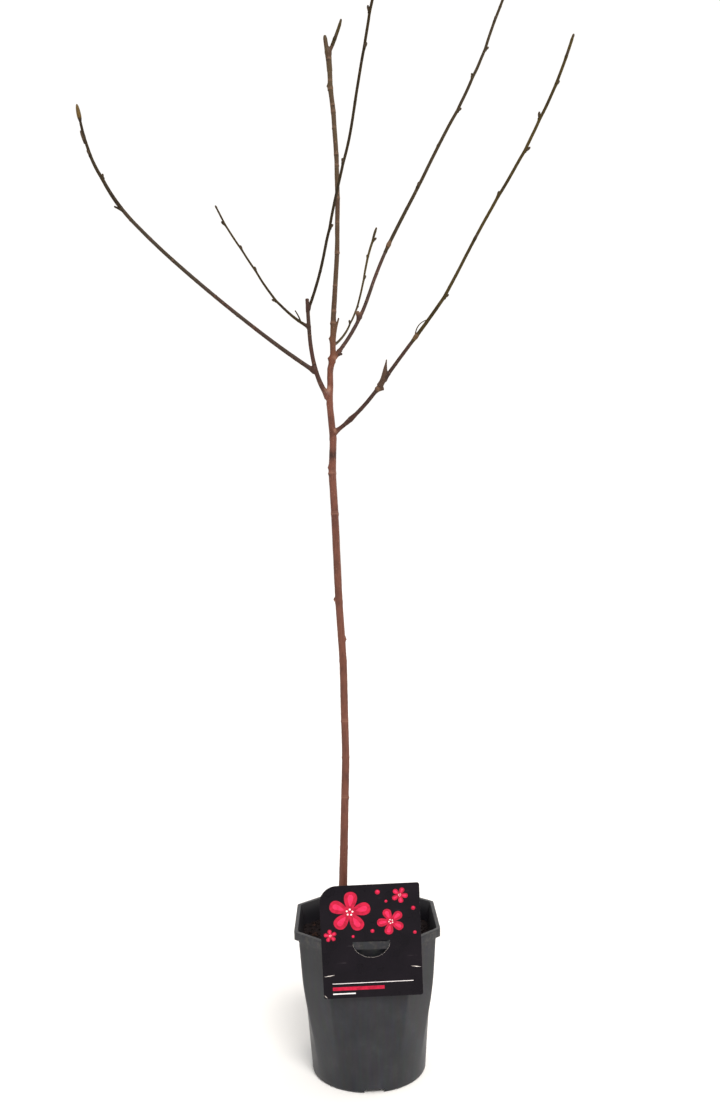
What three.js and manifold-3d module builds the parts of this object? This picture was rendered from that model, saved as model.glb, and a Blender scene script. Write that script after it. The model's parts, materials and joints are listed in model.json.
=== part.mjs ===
// A young magnolia with bare winter twigs, standing in a plastic nursery pot that carries
// a hooked-on plant label. The trunk runs up as a leader, with four boughs and seven
// groups of twigs.
//
// Millimetres and degrees. +X is right, +Y is back, +Z is up. The origin is the centre of
// the pot's flat underside. Headings are measured from +X towards +Y.

import * as THREE from "three";
import { mergeVertices } from "three/addons/utils/BufferGeometryUtils.js";
import Module from "manifold-3d";

const wasm = await Module();
wasm.setup();

// ------------------------------------------------------------------ driving dimensions

const clearance = 0.3; // air kept between neighbouring solids

const pot = {
  height: 209,
  rimWidth: 185.8, // across the flats of the rim
  bodyWidth: 174.6, // across the flats, where the wall starts to flare
  baseDiameter: 151,
  cornerAngle: 30, // where a flat ends and the chamfer starts, seen from the pot's axis
  wall: 1.8,
  floor: 2.2,
  lip: 4.6, // flat top of the rim, from its outer edge inwards
  edge: 0.8, // bevel along the rim's outer edge
  skirt: 10, // how far the rim's edge turns down
  skirtTaper: 0.4, // the skirt is this much thinner at its lower edge
  shoulder: 15, // below the rim, where the wall starts to flare
  footRounding: 3.5,
  roundBelow: 5, // the section is a circle up to here
  squareAbove: 150, // and a chamfered square from here up
  facets: 36,
  steps: 6, // between the rings of the stretch from round to square
};

// Slots through the foot of the wall, evenly round it.
const drain = { width: 26, height: 6, reach: 14, count: 4, turn: 4 };

const soilLevel = 183;

// The card hangs by a tongue that is folded back over the front of the rim.
const card = {
  width: 123,
  above: 72, // from the fold up
  below: 72, // from the fold down
  thickness: 0.6,
  bigCorner: 22, // upper left
  smallCorner: 3, // the other three
  tongueWidth: 46,
  tongueLength: 20.5, // over the rim and down inside it
  offset: 4, // of the fold's middle, to the right of the pot's axis
  roll: 1.4, // the card hangs a little askew
};

// The trunk stands off the pot's centre. Each stretch between two old leaf nodes has its
// length, its lean to the right and its lean to the back.
const trunk = {
  foot: [-32.6, 3],
  footBelow: 1, // its lowest ring, under the level cut
  stretches: [
    [120, 2.4, -0.6],
    [120, 2.3, 0.5],
    [125, -0.3, -0.8],
    [75, -2.7, -1.2],
    [110, -1.5, 0.6],
    [50, -2.1, 1.4],
    [42, 2.4, 0.9],
    [42, -4.1, -1.6],
    [42, 2.4, 1.2],
    [10, 16.4, 4],
    [44, 2.2, -1],
    [82, 4.6, -1.2],
    [62, 1.8, 0.8],
    [50, -0.4, 1.4],
    [48, -3.1, 0.6],
    [25, -5.9, -0.4],
    [40, -1.7, 0.5],
  ],
  diameters: [11.8, 10, 9.3, 9.1, 9.1, 8.9, 7, 5.3, 5.2, 5.6], // evenly from foot to top
  flare: 5.6, // added to the diameter at the foot
  flareHeight: 13,
};

// Distances up the trunk from its foot.
const forks = { right: 648, left: 689, middle: 738, inner: 754 };

// A limb sets off from its parent at a distance along it. Its heading turns evenly by
// "turn", and its rise and its diameter are spaced evenly along its length. Up to boughEnd
// it is a bough, and past that a group of twigs. A stub is a pruned or dead side shoot:
// distance, heading, rise, length and diameter. Buds past budsFrom follow a seeded rule.
const limbs = {
  left_bough: {
    parent: "trunk", at: forks.left, heading: 190, turn: 0, length: 123, boughEnd: 123,
    rise: [54, 76, 87, 88], diameters: [6.6, 5.1, 4.6, 4.3],
  },
  long_left: {
    parent: "left_bough", at: 36, heading: 172, turn: -14, length: 448, boughEnd: 327,
    rise: [34, 38, 40, 42, 46, 61, 79], diameters: [5.2, 4.5, 4.5, 4.4, 2.9],
    stubs: [[318, 185, 30, 14, 2.8]],
    budsFrom: 340, tipBud: [22.5, 5], seed: 11,
  },
  right: {
    parent: "trunk", at: forks.right, heading: -34.6, turn: 12, length: 495.6, boughEnd: 153,
    rise: [25, 46, 45, 58, 54, 60, 71], diameters: [5, 4.1, 3.1, 3, 2.8],
    stubs: [
      [80, -20, 4, 9, 4], [86, -32, 50, 17, 5.6], [94, -34, 79, 24, 3.4], [155, -45, 62, 18, 1.6],
    ],
    budsFrom: 180, tipBud: [4, 2.8], seed: 5,
  },
  middle: {
    parent: "trunk", at: forks.middle, heading: 27, turn: 12, length: 583, boughEnd: 158,
    rise: [46, 68, 58, 59, 57, 65, 62], diameters: [4.6, 4, 3.6, 3.4, 3],
    stubs: [[13, 60, 10, 6, 3], [64, 200, 70, 9, 4.8]],
    budsFrom: 180, tipBud: [8, 3.2], seed: 23,
  },
  inner: {
    parent: "trunk", at: forks.inner, heading: 74.6, turn: -16, length: 250, boughEnd: 0,
    rise: [17, 40, 67, 57], diameters: [3, 2.2, 2.4, 3.1],
    budsFrom: 60, tipBud: [5, 2.8], seed: 31,
  },
  left: {
    parent: "left_bough", at: 90, heading: 222.2, turn: -14, length: 173, boughEnd: 0,
    rise: [13, 35, 50, 51, 60], diameters: [3.2, 2.2, 1.9],
    stubs: [[13, 200, 64, 15, 1.8]],
    budsFrom: 45, tipBud: [4, 2.4], seed: 43,
  },
  centre: {
    parent: "left_bough", at: 109, heading: 305.9, turn: -16, length: 385, boughEnd: 0,
    rise: [48, 66, 55, 66, 56, 62], diameters: [3.2, 2.9, 2.8, 2.6],
    budsFrom: 60, tipBud: [8, 3], seed: 57,
  },
};

// The top of the leader was cut back, and has grown on as two short shoots.
const leaderTop = {
  heading: -8, turn: 0, rise: [60, 72], length: 36, diameters: [4.2, 3.6, 3.2],
  stubs: [[4, 182, 78, 17, 5.2]],
  budsFrom: 8, tipBud: [5, 3], seed: 71,
};

// Small growths on the trunk, from the top down: a nub near its top, a bud, a dry shoot,
// the knuckle at the middle fork, and two old leaf nodes.
const trunkStubs = [
  [1048, 180, 40, 5, 2.4],
  [757, 200, 50, 7, 2.6],
  [758, -12, 74, 29, 2.2],
  [733, 175, 62, 8, 5],
  [604, 185, 40, 6, 3.4],
  [391, 0, 30, 6, 4],
];

// Leaf nodes lie close together at a limb's tip and further apart below it.
const nodes = {
  firstGap: 20,
  growth: 1.25, // each gap over the one above it
  widestGap: 66,
  jitter: 0.25, // share of a gap that it may vary by
  turn: 144, // round the limb from one node to the next
  swelling: 0.16, // share added to the diameter
  swellingReach: 2.5, // along the limb, to where little of it is left
  scatter: 40, // degrees round the limb that a bud may be off its place
};
const bud = { length: [3.6, 5], diameter: [2.6, 3], lean: 30, sunk: 1.5 }; // lowest to topmost

const sides = { trunk: 10, bough: 8, twig: 6, stub: 5, bud: 5 };
const ringSpacing = 28; // between a limb's rings, where nothing else asks for one
const collar = { share: 0.45, length: 5 }; // where a limb leaves its parent

// ------------------------------------------------------------------ shape makers

const { degToRad, lerp, smoothstep, clamp } = THREE.MathUtils;

// A repeatable run of numbers from 0 to 1.
function randomRun(seed) {
  let state = seed;
  return () => {
    state = (state + 0x6d2b79f5) | 0;
    let mixed = Math.imul(state ^ (state >>> 15), 1 | state);
    mixed = (mixed + Math.imul(mixed ^ (mixed >>> 7), 61 | mixed)) ^ mixed;
    return ((mixed ^ (mixed >>> 14)) >>> 0) / 4294967296;
  };
}

// The value at a share of the way through a list whose entries are spaced evenly.
function evenly(values, share) {
  const place = clamp(share, 0, 1) * (values.length - 1);
  const index = Math.min(Math.floor(place), values.length - 2);
  return lerp(values[index], values[index + 1], place - index);
}

// A closed skin through rings of equally many points, fanned shut at both ends. The rings
// run anticlockwise, seen from where the skin is heading. Each four-sided patch is halved
// along one diagonal or, if crossed, along the other.
function loft(rings, crossed = false) {
  const count = rings[0].length;
  const points = rings.flat();
  const faces = [];
  for (let ring = 0; ring < rings.length - 1; ring++) {
    for (let i = 0; i < count; i++) {
      const here = ring * count + i;
      const next = ring * count + ((i + 1) % count);
      const [above, aboveNext] = [here + count, next + count];
      if (crossed) faces.push(here, next, above, next, aboveNext, above);
      else faces.push(here, next, aboveNext, here, aboveNext, above);
    }
  }
  const last = (rings.length - 1) * count;
  const startCentre = points.push(middleOf(rings[0])) - 1;
  const endCentre = points.push(middleOf(rings.at(-1))) - 1;
  for (let i = 0; i < count; i++) {
    const next = (i + 1) % count;
    faces.push(startCentre, next, i, endCentre, last + i, last + next);
  }
  const geometry = new THREE.BufferGeometry().setFromPoints(points);
  geometry.setIndex(faces);
  return geometry;
}

function middleOf(points) {
  const sum = new THREE.Vector3();
  points.forEach((point) => sum.add(point));
  return sum.divideScalar(points.length);
}

function solidOf(geometry) {
  const bare = geometry.clone();
  bare.deleteAttribute("normal");
  bare.deleteAttribute("uv");
  const merged = mergeVertices(bare);
  const vertProperties = new Float32Array(merged.attributes.position.array);
  const triVerts = new Uint32Array(merged.index.array);
  return new wasm.Manifold(new wasm.Mesh({ numProp: 3, vertProperties, triVerts }));
}

function geometryOf(solid) {
  const { vertProperties, triVerts } = solid.getMesh();
  const geometry = new THREE.BufferGeometry();
  geometry.setAttribute("position", new THREE.BufferAttribute(vertProperties, 3));
  geometry.setIndex(new THREE.BufferAttribute(triVerts, 1));
  geometry.computeVertexNormals();
  return geometry;
}

const tree = new THREE.Group();

function place(name, solid, material) {
  const mesh = new THREE.Mesh(geometryOf(solid), material);
  mesh.name = name;
  tree.add(mesh);
  return mesh;
}

function finish(color, roughness) {
  return new THREE.MeshStandardMaterial({ color, roughness, metalness: 0 });
}

// ------------------------------------------------------------------ pot

// Half the width across the flats, inside or outside the wall, at a height.
function bodyHalfWidth(height, inset) {
  const shoulderHeight = pot.height - pot.shoulder;
  const bottom = pot.baseDiameter / 2;
  const top = pot.bodyWidth / 2;
  return lerp(bottom, top, height / shoulderHeight) - inset;
}

// One level ring of the pot: a circle low down, a chamfered square higher up.
function potRing(halfWidth, height) {
  const squareness = smoothstep(height, pot.roundBelow, pot.squareAbove);
  const chamferReach = halfWidth * (1 + Math.tan(degToRad(pot.cornerAngle)));
  const ring = [];
  for (let i = 0; i < pot.facets; i++) {
    const angle = (i / pot.facets) * 2 * Math.PI;
    const [across, along] = [Math.abs(Math.cos(angle)), Math.abs(Math.sin(angle))];
    const flat = halfWidth / Math.max(across, along);
    const chamfer = chamferReach / (across + along);
    const radius = lerp(halfWidth, Math.min(flat, chamfer), squareness);
    ring.push(new THREE.Vector3(radius * Math.cos(angle), radius * Math.sin(angle), height));
  }
  return ring;
}

// Rings through the stretch where the section changes from round to square.
const wallHeights = Array.from({ length: pot.steps + 1 }, (unused, step) =>
  lerp(pot.roundBelow, pot.squareAbove, step / pot.steps));

function makePot() {
  const rim = pot.rimWidth / 2;
  const shoulderHeight = pot.height - pot.shoulder;
  const foot = pot.footRounding;
  const outside = [
    potRing(bodyHalfWidth(0, foot), 0),
    potRing(bodyHalfWidth(0, foot * 0.3), foot * 0.3),
    potRing(bodyHalfWidth(foot, 0), foot),
    ...wallHeights.map((height) => potRing(bodyHalfWidth(height, 0), height)),
    potRing(bodyHalfWidth(shoulderHeight, 0), shoulderHeight),
  ];
  const rimRings = [
    potRing(rim - pot.lip + pot.wall, pot.height - pot.wall),
    potRing(rim - pot.wall, pot.height - pot.wall),
    potRing(rim - pot.wall + pot.skirtTaper, pot.height - pot.skirt),
    potRing(rim, pot.height - pot.skirt),
    potRing(rim, pot.height - pot.edge),
    potRing(rim - pot.edge, pot.height),
    potRing(rim - pot.lip, pot.height),
  ];
  const inside = [
    potRing(bodyHalfWidth(shoulderHeight, pot.wall), shoulderHeight),
    ...wallHeights.toReversed().map((height) => potRing(bodyHalfWidth(height, pot.wall), height)),
    potRing(bodyHalfWidth(foot, pot.wall), foot),
    potRing(bodyHalfWidth(pot.floor, pot.wall * 2), pot.floor),
  ];
  let solid = solidOf(loft([...outside, ...rimRings, ...inside]));
  for (let i = 0; i < drain.count; i++) {
    const slot = new THREE.BoxGeometry(2 * drain.reach, drain.width, 2 * drain.height);
    slot.translate(pot.baseDiameter / 2, 0, 0);
    slot.rotateZ(degToRad(-90 + drain.turn + (i * 360) / drain.count));
    solid = solid.subtract(solidOf(slot));
  }
  return solid;
}

place("pot", makePot(), finish(0x444446, 0.45));

// ------------------------------------------------------------------ soil

// The soil fills the pot, clear of its wall and floor, with a level top. Its patches are
// halved as the inside of the wall is, which runs the other way.
function makeSoil() {
  const bottom = pot.floor + clearance;
  const inset = pot.wall + clearance;
  const rings = [
    potRing(bodyHalfWidth(pot.floor, 2 * pot.wall + clearance), bottom),
    potRing(bodyHalfWidth(pot.footRounding, inset), pot.footRounding + clearance),
    ...wallHeights.map((height) => potRing(bodyHalfWidth(height, inset), height)),
    potRing(bodyHalfWidth(soilLevel, inset), soilLevel),
  ];
  return solidOf(loft(rings, true));
}

place("potting_soil", makeSoil(), finish(0x1d161d, 0.95));

// ------------------------------------------------------------------ plant label

// The face of the card stands upright, with the fold at height 0 and the tongue's hole
// below it. The big corner is at the upper left.
function cardOutline() {
  const left = -card.width / 2;
  const right = card.width / 2;
  const { above, below, bigCorner, smallCorner } = card;
  const outline = new THREE.Shape();
  outline.moveTo(left + smallCorner, -below);
  outline.lineTo(right - smallCorner, -below);
  outline.absarc(right - smallCorner, -below + smallCorner, smallCorner, -Math.PI / 2, 0);
  outline.absarc(right - smallCorner, above - smallCorner, smallCorner, 0, Math.PI / 2);
  outline.absarc(left + bigCorner, above - bigCorner, bigCorner, Math.PI / 2, Math.PI);
  outline.absarc(left + smallCorner, -below + smallCorner, smallCorner, Math.PI, 1.5 * Math.PI);
  return outline;
}

// The half ellipse that is cut out as the tongue, below a length of it that lies over the
// rim, with that length's end at height 0.
function tongueOutline(Kind, over, shrink) {
  const [across, down] = [card.tongueWidth / 2 - shrink, card.tongueLength - shrink];
  const start = Math.asin(over / down);
  const outline = new Kind();
  outline.absellipse(0, over, across, down, Math.PI + start, 2 * Math.PI - start);
  outline.closePath();
  return outline;
}

// A plate cut from an outline, standing in the XZ plane with its front at a given depth.
function uprightPlate(outline, front) {
  const options = { depth: card.thickness, bevelEnabled: false, curveSegments: 6 };
  const plate = new THREE.ExtrudeGeometry(outline, options);
  plate.rotateX(Math.PI / 2);
  plate.translate(0, front + card.thickness, 0);
  return plate;
}

function makeCard() {
  const rim = pot.rimWidth / 2;
  const front = -(rim + clearance + card.thickness);
  const innerWall = bodyHalfWidth(pot.height - pot.shoulder, pot.wall);
  const tongueFront = -(innerWall - 2 * clearance);
  const over = tongueFront + card.thickness - front;
  const outline = cardOutline();
  outline.holes.push(tongueOutline(THREE.Path, 0, 0));
  const foldWidth = card.tongueWidth * Math.sqrt(1 - (over / card.tongueLength) ** 2);
  const fold = new THREE.BoxGeometry(foldWidth, over, card.thickness);
  fold.translate(0, (tongueFront + card.thickness + front) / 2, card.thickness / 2);
  const tongue = uprightPlate(tongueOutline(THREE.Shape, over, clearance), tongueFront);
  tongue.translate(0, 0, card.thickness / 2);
  const solid = solidOf(uprightPlate(outline, front)).add(solidOf(fold));
  return solid.add(solidOf(tongue));
}

const cardMesh = place("plant_label", makeCard(), finish(0x1e1b22, 0.4));
const foldDrop = (card.tongueWidth / 2) * Math.sin(degToRad(card.roll));
cardMesh.rotation.y = -degToRad(card.roll);
cardMesh.position.set(card.offset, 0, pot.height + clearance + foldDrop);

// ------------------------------------------------------------------ limbs

// Distances along a limb of its leaf nodes, from the tip down, above a start.
function leafNodes(length, start, random) {
  const distances = [];
  let gap = nodes.firstGap;
  let distance = length - gap;
  while (distance > start) {
    distances.push(distance);
    gap = Math.min(gap * nodes.growth, nodes.widestGap);
    distance -= gap * (1 + nodes.jitter * (2 * random() - 1));
  }
  return distances;
}

// A limb ready for modelling: its curve, the way across it, its diameters and its rings.
function prepare(points, length, across, diameters, swellings, shapeFoot) {
  const curve = new THREE.CatmullRomCurve3(points, false, "centripetal");
  curve.arcLengthDivisions = 400;
  const diameterAt = (distance) => {
    let diameter = evenly(diameters, distance / length);
    for (const swelling of swellings) {
      const past = (distance - swelling) / nodes.swellingReach;
      diameter *= 1 + nodes.swelling * Math.exp(-past * past);
    }
    return shapeFoot(distance, diameter);
  };
  return { curve, length, across, diameterAt, swellings };
}

function prepareTrunk() {
  const point = new THREE.Vector3(...trunk.foot, soilLevel - trunk.footBelow);
  const points = [point.clone()];
  const swellings = [];
  let length = 0;
  for (const [stretch, right, back] of trunk.stretches) {
    const lean = new THREE.Vector3(Math.tan(degToRad(right)), Math.tan(degToRad(back)), 1);
    lean.setLength(stretch);
    points.push(point.clone().addScaledVector(lean, 0.5));
    points.push(point.add(lean).clone());
    length += stretch;
    swellings.push(length);
  }
  swellings.pop();
  const flared = (distance, diameter) =>
    diameter + trunk.flare * Math.exp(-distance / trunk.flareHeight);
  const across = new THREE.Vector3(1, 0, 0);
  return prepare(points, length, across, trunk.diameters, swellings, flared);
}

// Grows a limb from a point: short steps, each in the heading and rise of its place. It is
// slim inside its parent, and has a collar where it comes out.
function prepareLimb(spec, start, parentRadius) {
  const steps = 6 * spec.rise.length;
  const point = start.clone();
  const points = [point.clone()];
  for (let i = 0; i < steps; i++) {
    const share = (i + 0.5) / steps;
    point.add(headingVector(
      spec.heading + spec.turn * share,
      evenly(spec.rise, share),
      spec.length / steps,
    ));
    points.push(point.clone());
  }
  const random = randomRun(spec.seed ?? 1);
  const budsFrom = spec.budsFrom ?? spec.length;
  const swellings = leafNodes(spec.length, budsFrom, random);
  const collared = (distance, diameter) => {
    const past = (distance - parentRadius) / collar.length;
    const inside = Math.min(1, 0.3 + (0.7 * distance) / parentRadius);
    return diameter * (1 + collar.share * Math.exp(-past * past)) * inside;
  };
  const shapeFoot = parentRadius > 0 ? collared : (distance, diameter) => diameter;
  const middle = degToRad(spec.heading + spec.turn / 2 - 90);
  const across = new THREE.Vector3(Math.cos(middle), Math.sin(middle), 0);
  const limb = prepare(points, spec.length, across, spec.diameters, swellings, shapeFoot);
  return { ...limb, random };
}

function headingVector(heading, rise, length) {
  const [turned, lifted] = [degToRad(heading), degToRad(rise)];
  return new THREE.Vector3(
    Math.cos(lifted) * Math.cos(turned),
    Math.cos(lifted) * Math.sin(turned),
    Math.sin(lifted),
  ).multiplyScalar(length);
}

// Two directions across a limb at a share of its length, and the limb's own.
function frameAt(limb, share) {
  const along = limb.curve.getTangentAt(share);
  const first = limb.across.clone().addScaledVector(along, -limb.across.dot(along)).normalize();
  return { along, first, second: along.clone().cross(first) };
}

function ringAround(centre, frame, radius, count) {
  const ring = [];
  for (let i = 0; i < count; i++) {
    const angle = (i / count) * 2 * Math.PI;
    const point = centre.clone().addScaledVector(frame.first, radius * Math.cos(angle));
    ring.push(point.addScaledVector(frame.second, radius * Math.sin(angle)));
  }
  return ring;
}

// Where a limb's rings go: at its ends, at each swelling and its feet, at the collar, and
// in between wherever two would be too far apart.
function ringDistances(limb, from, to) {
  const wanted = [from, to, from + 3, from + 6, from + 10];
  limb.swellings.forEach((at) => wanted.push(at - 3, at, at + 3));
  const inside = wanted.filter((at) => at >= from && at <= to).sort((a, b) => a - b);
  const distances = [from];
  for (const at of inside) {
    const last = distances.at(-1);
    if (at - last < 1.5 && at < to) continue;
    const pieces = Math.ceil((at - last) / ringSpacing);
    for (let i = 1; i < pieces; i++) distances.push(last + ((at - last) * i) / pieces);
    if (at > last) distances.push(at);
  }
  return distances;
}

// The stretch of a limb between two distances, optionally fatter all round.
function limbSolid(limb, from, to, count, extra = 0) {
  const outset = extra / Math.cos(Math.PI / count);
  const rings = ringDistances(limb, from, to).map((distance) => {
    const share = distance / limb.length;
    const radius = limb.diameterAt(distance) / 2 + outset;
    return ringAround(limb.curve.getPointAt(share), frameAt(limb, share), radius, count);
  });
  return solidOf(loft(rings));
}

// A short straight shoot from a point, a little thinner at its cut end.
function stubSolid(start, heading, rise, length, diameter) {
  const along = headingVector(heading, rise, 1);
  const across = headingVector(heading + 90, 0, 1);
  const frame = { first: across, second: along.clone().cross(across) };
  const rings = [[0, 1.2], [0.3, 1], [1, 0.8]].map(([share, width]) => {
    const centre = start.clone().addScaledVector(along, share * length);
    return ringAround(centre, frame, (width * diameter) / 2, sides.stub);
  });
  return solidOf(loft(rings));
}

// A pointed bud from a point inside its twig.
function budSolid(start, along, length, diameter) {
  const helper = Math.abs(along.z) > 0.9 ? new THREE.Vector3(1, 0, 0) : new THREE.Vector3(0, 0, 1);
  const first = helper.addScaledVector(along, -helper.dot(along)).normalize();
  const frame = { first, second: along.clone().cross(first) };
  const rings = [[0, 0.7], [0.45, 1], [1, 0.12]].map(([share, width]) => {
    const centre = start.clone().addScaledVector(along, share * length);
    return ringAround(centre, frame, (width * diameter) / 2, sides.bud);
  });
  return solidOf(loft(rings));
}

// Fuses the stubs that leave a limb between two distances onto its solid.
function addStubs(solid, limb, stubs, from, to) {
  let fused = solid;
  for (const [at, heading, rise, length, diameter] of stubs) {
    if (at < from || at > to) continue;
    const start = limb.curve.getPointAt(at / limb.length);
    fused = fused.add(stubSolid(start, heading, rise, length, diameter));
  }
  return fused;
}

// Fuses a bud onto each leaf node past a distance, and the bud at the tip.
function addBuds(solid, limb, spec, from) {
  let fused = solid;
  limb.swellings.forEach((at, i) => {
    if (at < from + 6) return;
    const share = at / limb.length;
    const frame = frameAt(limb, share);
    const angle = degToRad(i * nodes.turn + nodes.scatter * limb.random());
    const out = frame.first.clone().multiplyScalar(Math.cos(angle));
    out.addScaledVector(frame.second, Math.sin(angle));
    const lean = degToRad(bud.lean);
    const along = frame.along.clone().multiplyScalar(Math.cos(lean));
    along.addScaledVector(out, Math.sin(lean));
    const start = limb.curve.getPointAt(share).addScaledVector(out, limb.diameterAt(at) * 0.15);
    const reach = limb.diameterAt(at) / 2;
    const [length, diameter] = [evenly(bud.length, share) + reach, evenly(bud.diameter, share)];
    fused = fused.add(budSolid(start, along, length, diameter));
  });
  const [length, diameter] = spec.tipBud;
  const tip = limb.curve.getPointAt(1 - bud.sunk / limb.length);
  return fused.add(budSolid(tip, limb.curve.getTangentAt(1), length, diameter));
}

// ------------------------------------------------------------------ trunk, boughs, twigs

const bark = finish(0x76493e, 0.7);
const youngBark = finish(0x5f493f, 0.65);
const twigBark = finish(0x55483a, 0.6);

const grown = { trunk: prepareTrunk() };
const trunkTop = grown.trunk.length;

// The trunk's foot is cut level, just clear of the soil.
function makeTrunk() {
  const solid = limbSolid(grown.trunk, 0, trunkTop, sides.trunk);
  const below = new THREE.BoxGeometry(60, 60, 20); // wider and deeper than the foot
  below.translate(...trunk.foot, soilLevel + clearance - 20 / 2);
  return addStubs(solid, grown.trunk, trunkStubs, 0, trunkTop).subtract(solidOf(below));
}

place("trunk", makeTrunk(), bark);

for (const [name, spec] of Object.entries(limbs)) {
  const parent = grown[spec.parent];
  const parentSides = spec.parent === "trunk" ? sides.trunk : sides.bough;
  const start = parent.curve.getPointAt(spec.at / parent.length);
  const limb = prepareLimb(spec, start, parent.diameterAt(spec.at) / 2);
  grown[name] = limb;
  const room = limbSolid(parent, 0, parent.length, parentSides, clearance);
  const stubs = spec.stubs ?? [];
  const boughName = name.endsWith("bough") ? name : `${name}_bough`;
  if (spec.boughEnd > 0) {
    const bough = limbSolid(limb, 0, spec.boughEnd, sides.bough).subtract(room);
    place(boughName, addStubs(bough, limb, stubs, 0, spec.boughEnd), youngBark);
  }
  if (spec.boughEnd < spec.length) {
    const from = spec.boughEnd > 0 ? spec.boughEnd + clearance : 0;
    const stem = limbSolid(limb, from, spec.length, sides.twig).subtract(room);
    const twigs = addStubs(stem, limb, stubs, from, spec.length);
    place(`${name}_twigs`, addBuds(twigs, limb, spec, from), twigBark);
  }
}

// The shoots on the leader's cut start clear of it, along its own direction.
const leaderStart = grown.trunk.curve.getPointAt(1);
leaderStart.addScaledVector(grown.trunk.curve.getTangentAt(1), clearance);
const leaderLimb = prepareLimb(leaderTop, leaderStart, 0);
const leaderStem = limbSolid(leaderLimb, 0, leaderTop.length, sides.twig);
const leaderStubs = addStubs(leaderStem, leaderLimb, leaderTop.stubs, 0, leaderTop.length);
const leaderRoom = limbSolid(grown.trunk, 0, trunkTop, sides.trunk, clearance);
const leaderTwigs = addBuds(leaderStubs, leaderLimb, leaderTop, 0).subtract(leaderRoom);
place("leader_twigs", leaderTwigs, twigBark);

export default tree;
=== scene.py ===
import json
import math

import bmesh
import bpy
import numpy as np
from mathutils import Matrix, Vector, kdtree, noise

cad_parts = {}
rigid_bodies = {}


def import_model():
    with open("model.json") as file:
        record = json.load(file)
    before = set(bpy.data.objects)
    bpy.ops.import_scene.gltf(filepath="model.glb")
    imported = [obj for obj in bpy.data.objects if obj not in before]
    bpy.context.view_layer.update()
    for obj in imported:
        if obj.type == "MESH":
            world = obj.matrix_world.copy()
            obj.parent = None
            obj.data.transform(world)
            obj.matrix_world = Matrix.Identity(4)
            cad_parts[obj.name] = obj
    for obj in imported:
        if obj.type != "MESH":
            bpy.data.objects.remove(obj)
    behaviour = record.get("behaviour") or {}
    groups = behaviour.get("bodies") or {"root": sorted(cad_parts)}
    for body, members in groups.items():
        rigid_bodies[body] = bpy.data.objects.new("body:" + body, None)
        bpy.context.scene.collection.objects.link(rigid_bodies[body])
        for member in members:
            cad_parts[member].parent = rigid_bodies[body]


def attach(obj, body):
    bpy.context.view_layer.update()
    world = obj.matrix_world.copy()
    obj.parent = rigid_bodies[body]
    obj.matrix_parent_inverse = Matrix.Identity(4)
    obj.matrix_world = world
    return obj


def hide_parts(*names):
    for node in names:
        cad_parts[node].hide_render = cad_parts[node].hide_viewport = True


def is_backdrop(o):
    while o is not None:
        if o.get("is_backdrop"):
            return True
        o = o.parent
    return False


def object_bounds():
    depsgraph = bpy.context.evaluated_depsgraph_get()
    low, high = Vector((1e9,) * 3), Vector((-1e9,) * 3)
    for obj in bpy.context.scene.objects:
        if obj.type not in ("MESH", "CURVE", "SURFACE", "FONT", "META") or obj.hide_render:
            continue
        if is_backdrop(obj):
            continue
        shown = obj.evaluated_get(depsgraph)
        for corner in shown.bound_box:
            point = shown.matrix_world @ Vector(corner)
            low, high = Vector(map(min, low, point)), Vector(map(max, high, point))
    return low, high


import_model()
cad_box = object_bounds()
MM = 0.001  # the tree and its pot are measured in millimetres, and Blender works in metres

# ------------------------------------------------------------------------------- camera
# It stands 1.3 m in front of the pot and 0.67 m up, and is tipped a little down. The lens
# is shifted up so that the top of the crown stays in the frame.
FRAME_LONG_SIDE = 1115  # pixels
FOCAL_LENGTH = 1028.25  # pixels
CENTRE_BELOW_MIDDLE = 147.5  # pixels from the frame's middle down to the lens's axis
SENSOR = 36  # millimetres, along the frame's long side
CAMERA_PLACE = (-0.0212, -1.3055, 0.6702)
CAMERA_YAW, CAMERA_TIP, CAMERA_ROLL = -0.01399, -0.13714, -0.01942

bpy.ops.object.select_all(action="DESELECT")
bpy.ops.object.camera_add()
camera = bpy.context.object
camera.data.sensor_width = SENSOR
camera.data.lens = FOCAL_LENGTH / FRAME_LONG_SIDE * SENSOR
camera.data.shift_y = CENTRE_BELOW_MIDDLE / FRAME_LONG_SIDE
camera.matrix_world = (
    Matrix.Translation(CAMERA_PLACE)
    @ Matrix.Rotation(CAMERA_YAW, 4, "Z")
    @ Matrix.Rotation(math.pi / 2 + CAMERA_TIP, 4, "X")
    @ Matrix.Rotation(CAMERA_ROLL, 4, "Z")
)
bpy.context.scene.camera = camera


# --------------------------------------------------------------------- floor and lights
# A white studio floor under a room that is white all round and dimmer overhead. Sun
# through a large window behind the viewer makes the main shading, and a warm lamp from the
# right and behind gives the edges their sheen.
def linear(hex_colour):
    """An sRGB colour written as hex, as the linear RGBA that shaders take."""
    channels = [int(hex_colour[i:i + 2], 16) / 255 for i in (1, 3, 5)]
    curve = [c / 12.92 if c <= 0.04045 else ((c + 0.055) / 1.055) ** 2.4 for c in channels]
    return (*curve, 1)


def set_inputs(owner, node, **inputs):
    """Fills or links a node's inputs, by identifier with _ for a space. Text is a colour."""
    sockets = {socket.identifier.replace(" ", "_"): socket for socket in node.inputs}
    for name, value in inputs.items():
        if isinstance(value, bpy.types.NodeSocket):
            owner.node_tree.links.new(value, sockets[name])
        else:
            sockets[name].default_value = linear(value) if isinstance(value, str) else value


def new_material(name, **inputs):
    """A material and its shader, which has these inputs."""
    material = bpy.data.materials.new(name)
    material.use_nodes = True
    shader = material.node_tree.nodes["Principled BSDF"]
    set_inputs(material, shader, **inputs)
    return material, shader


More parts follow.
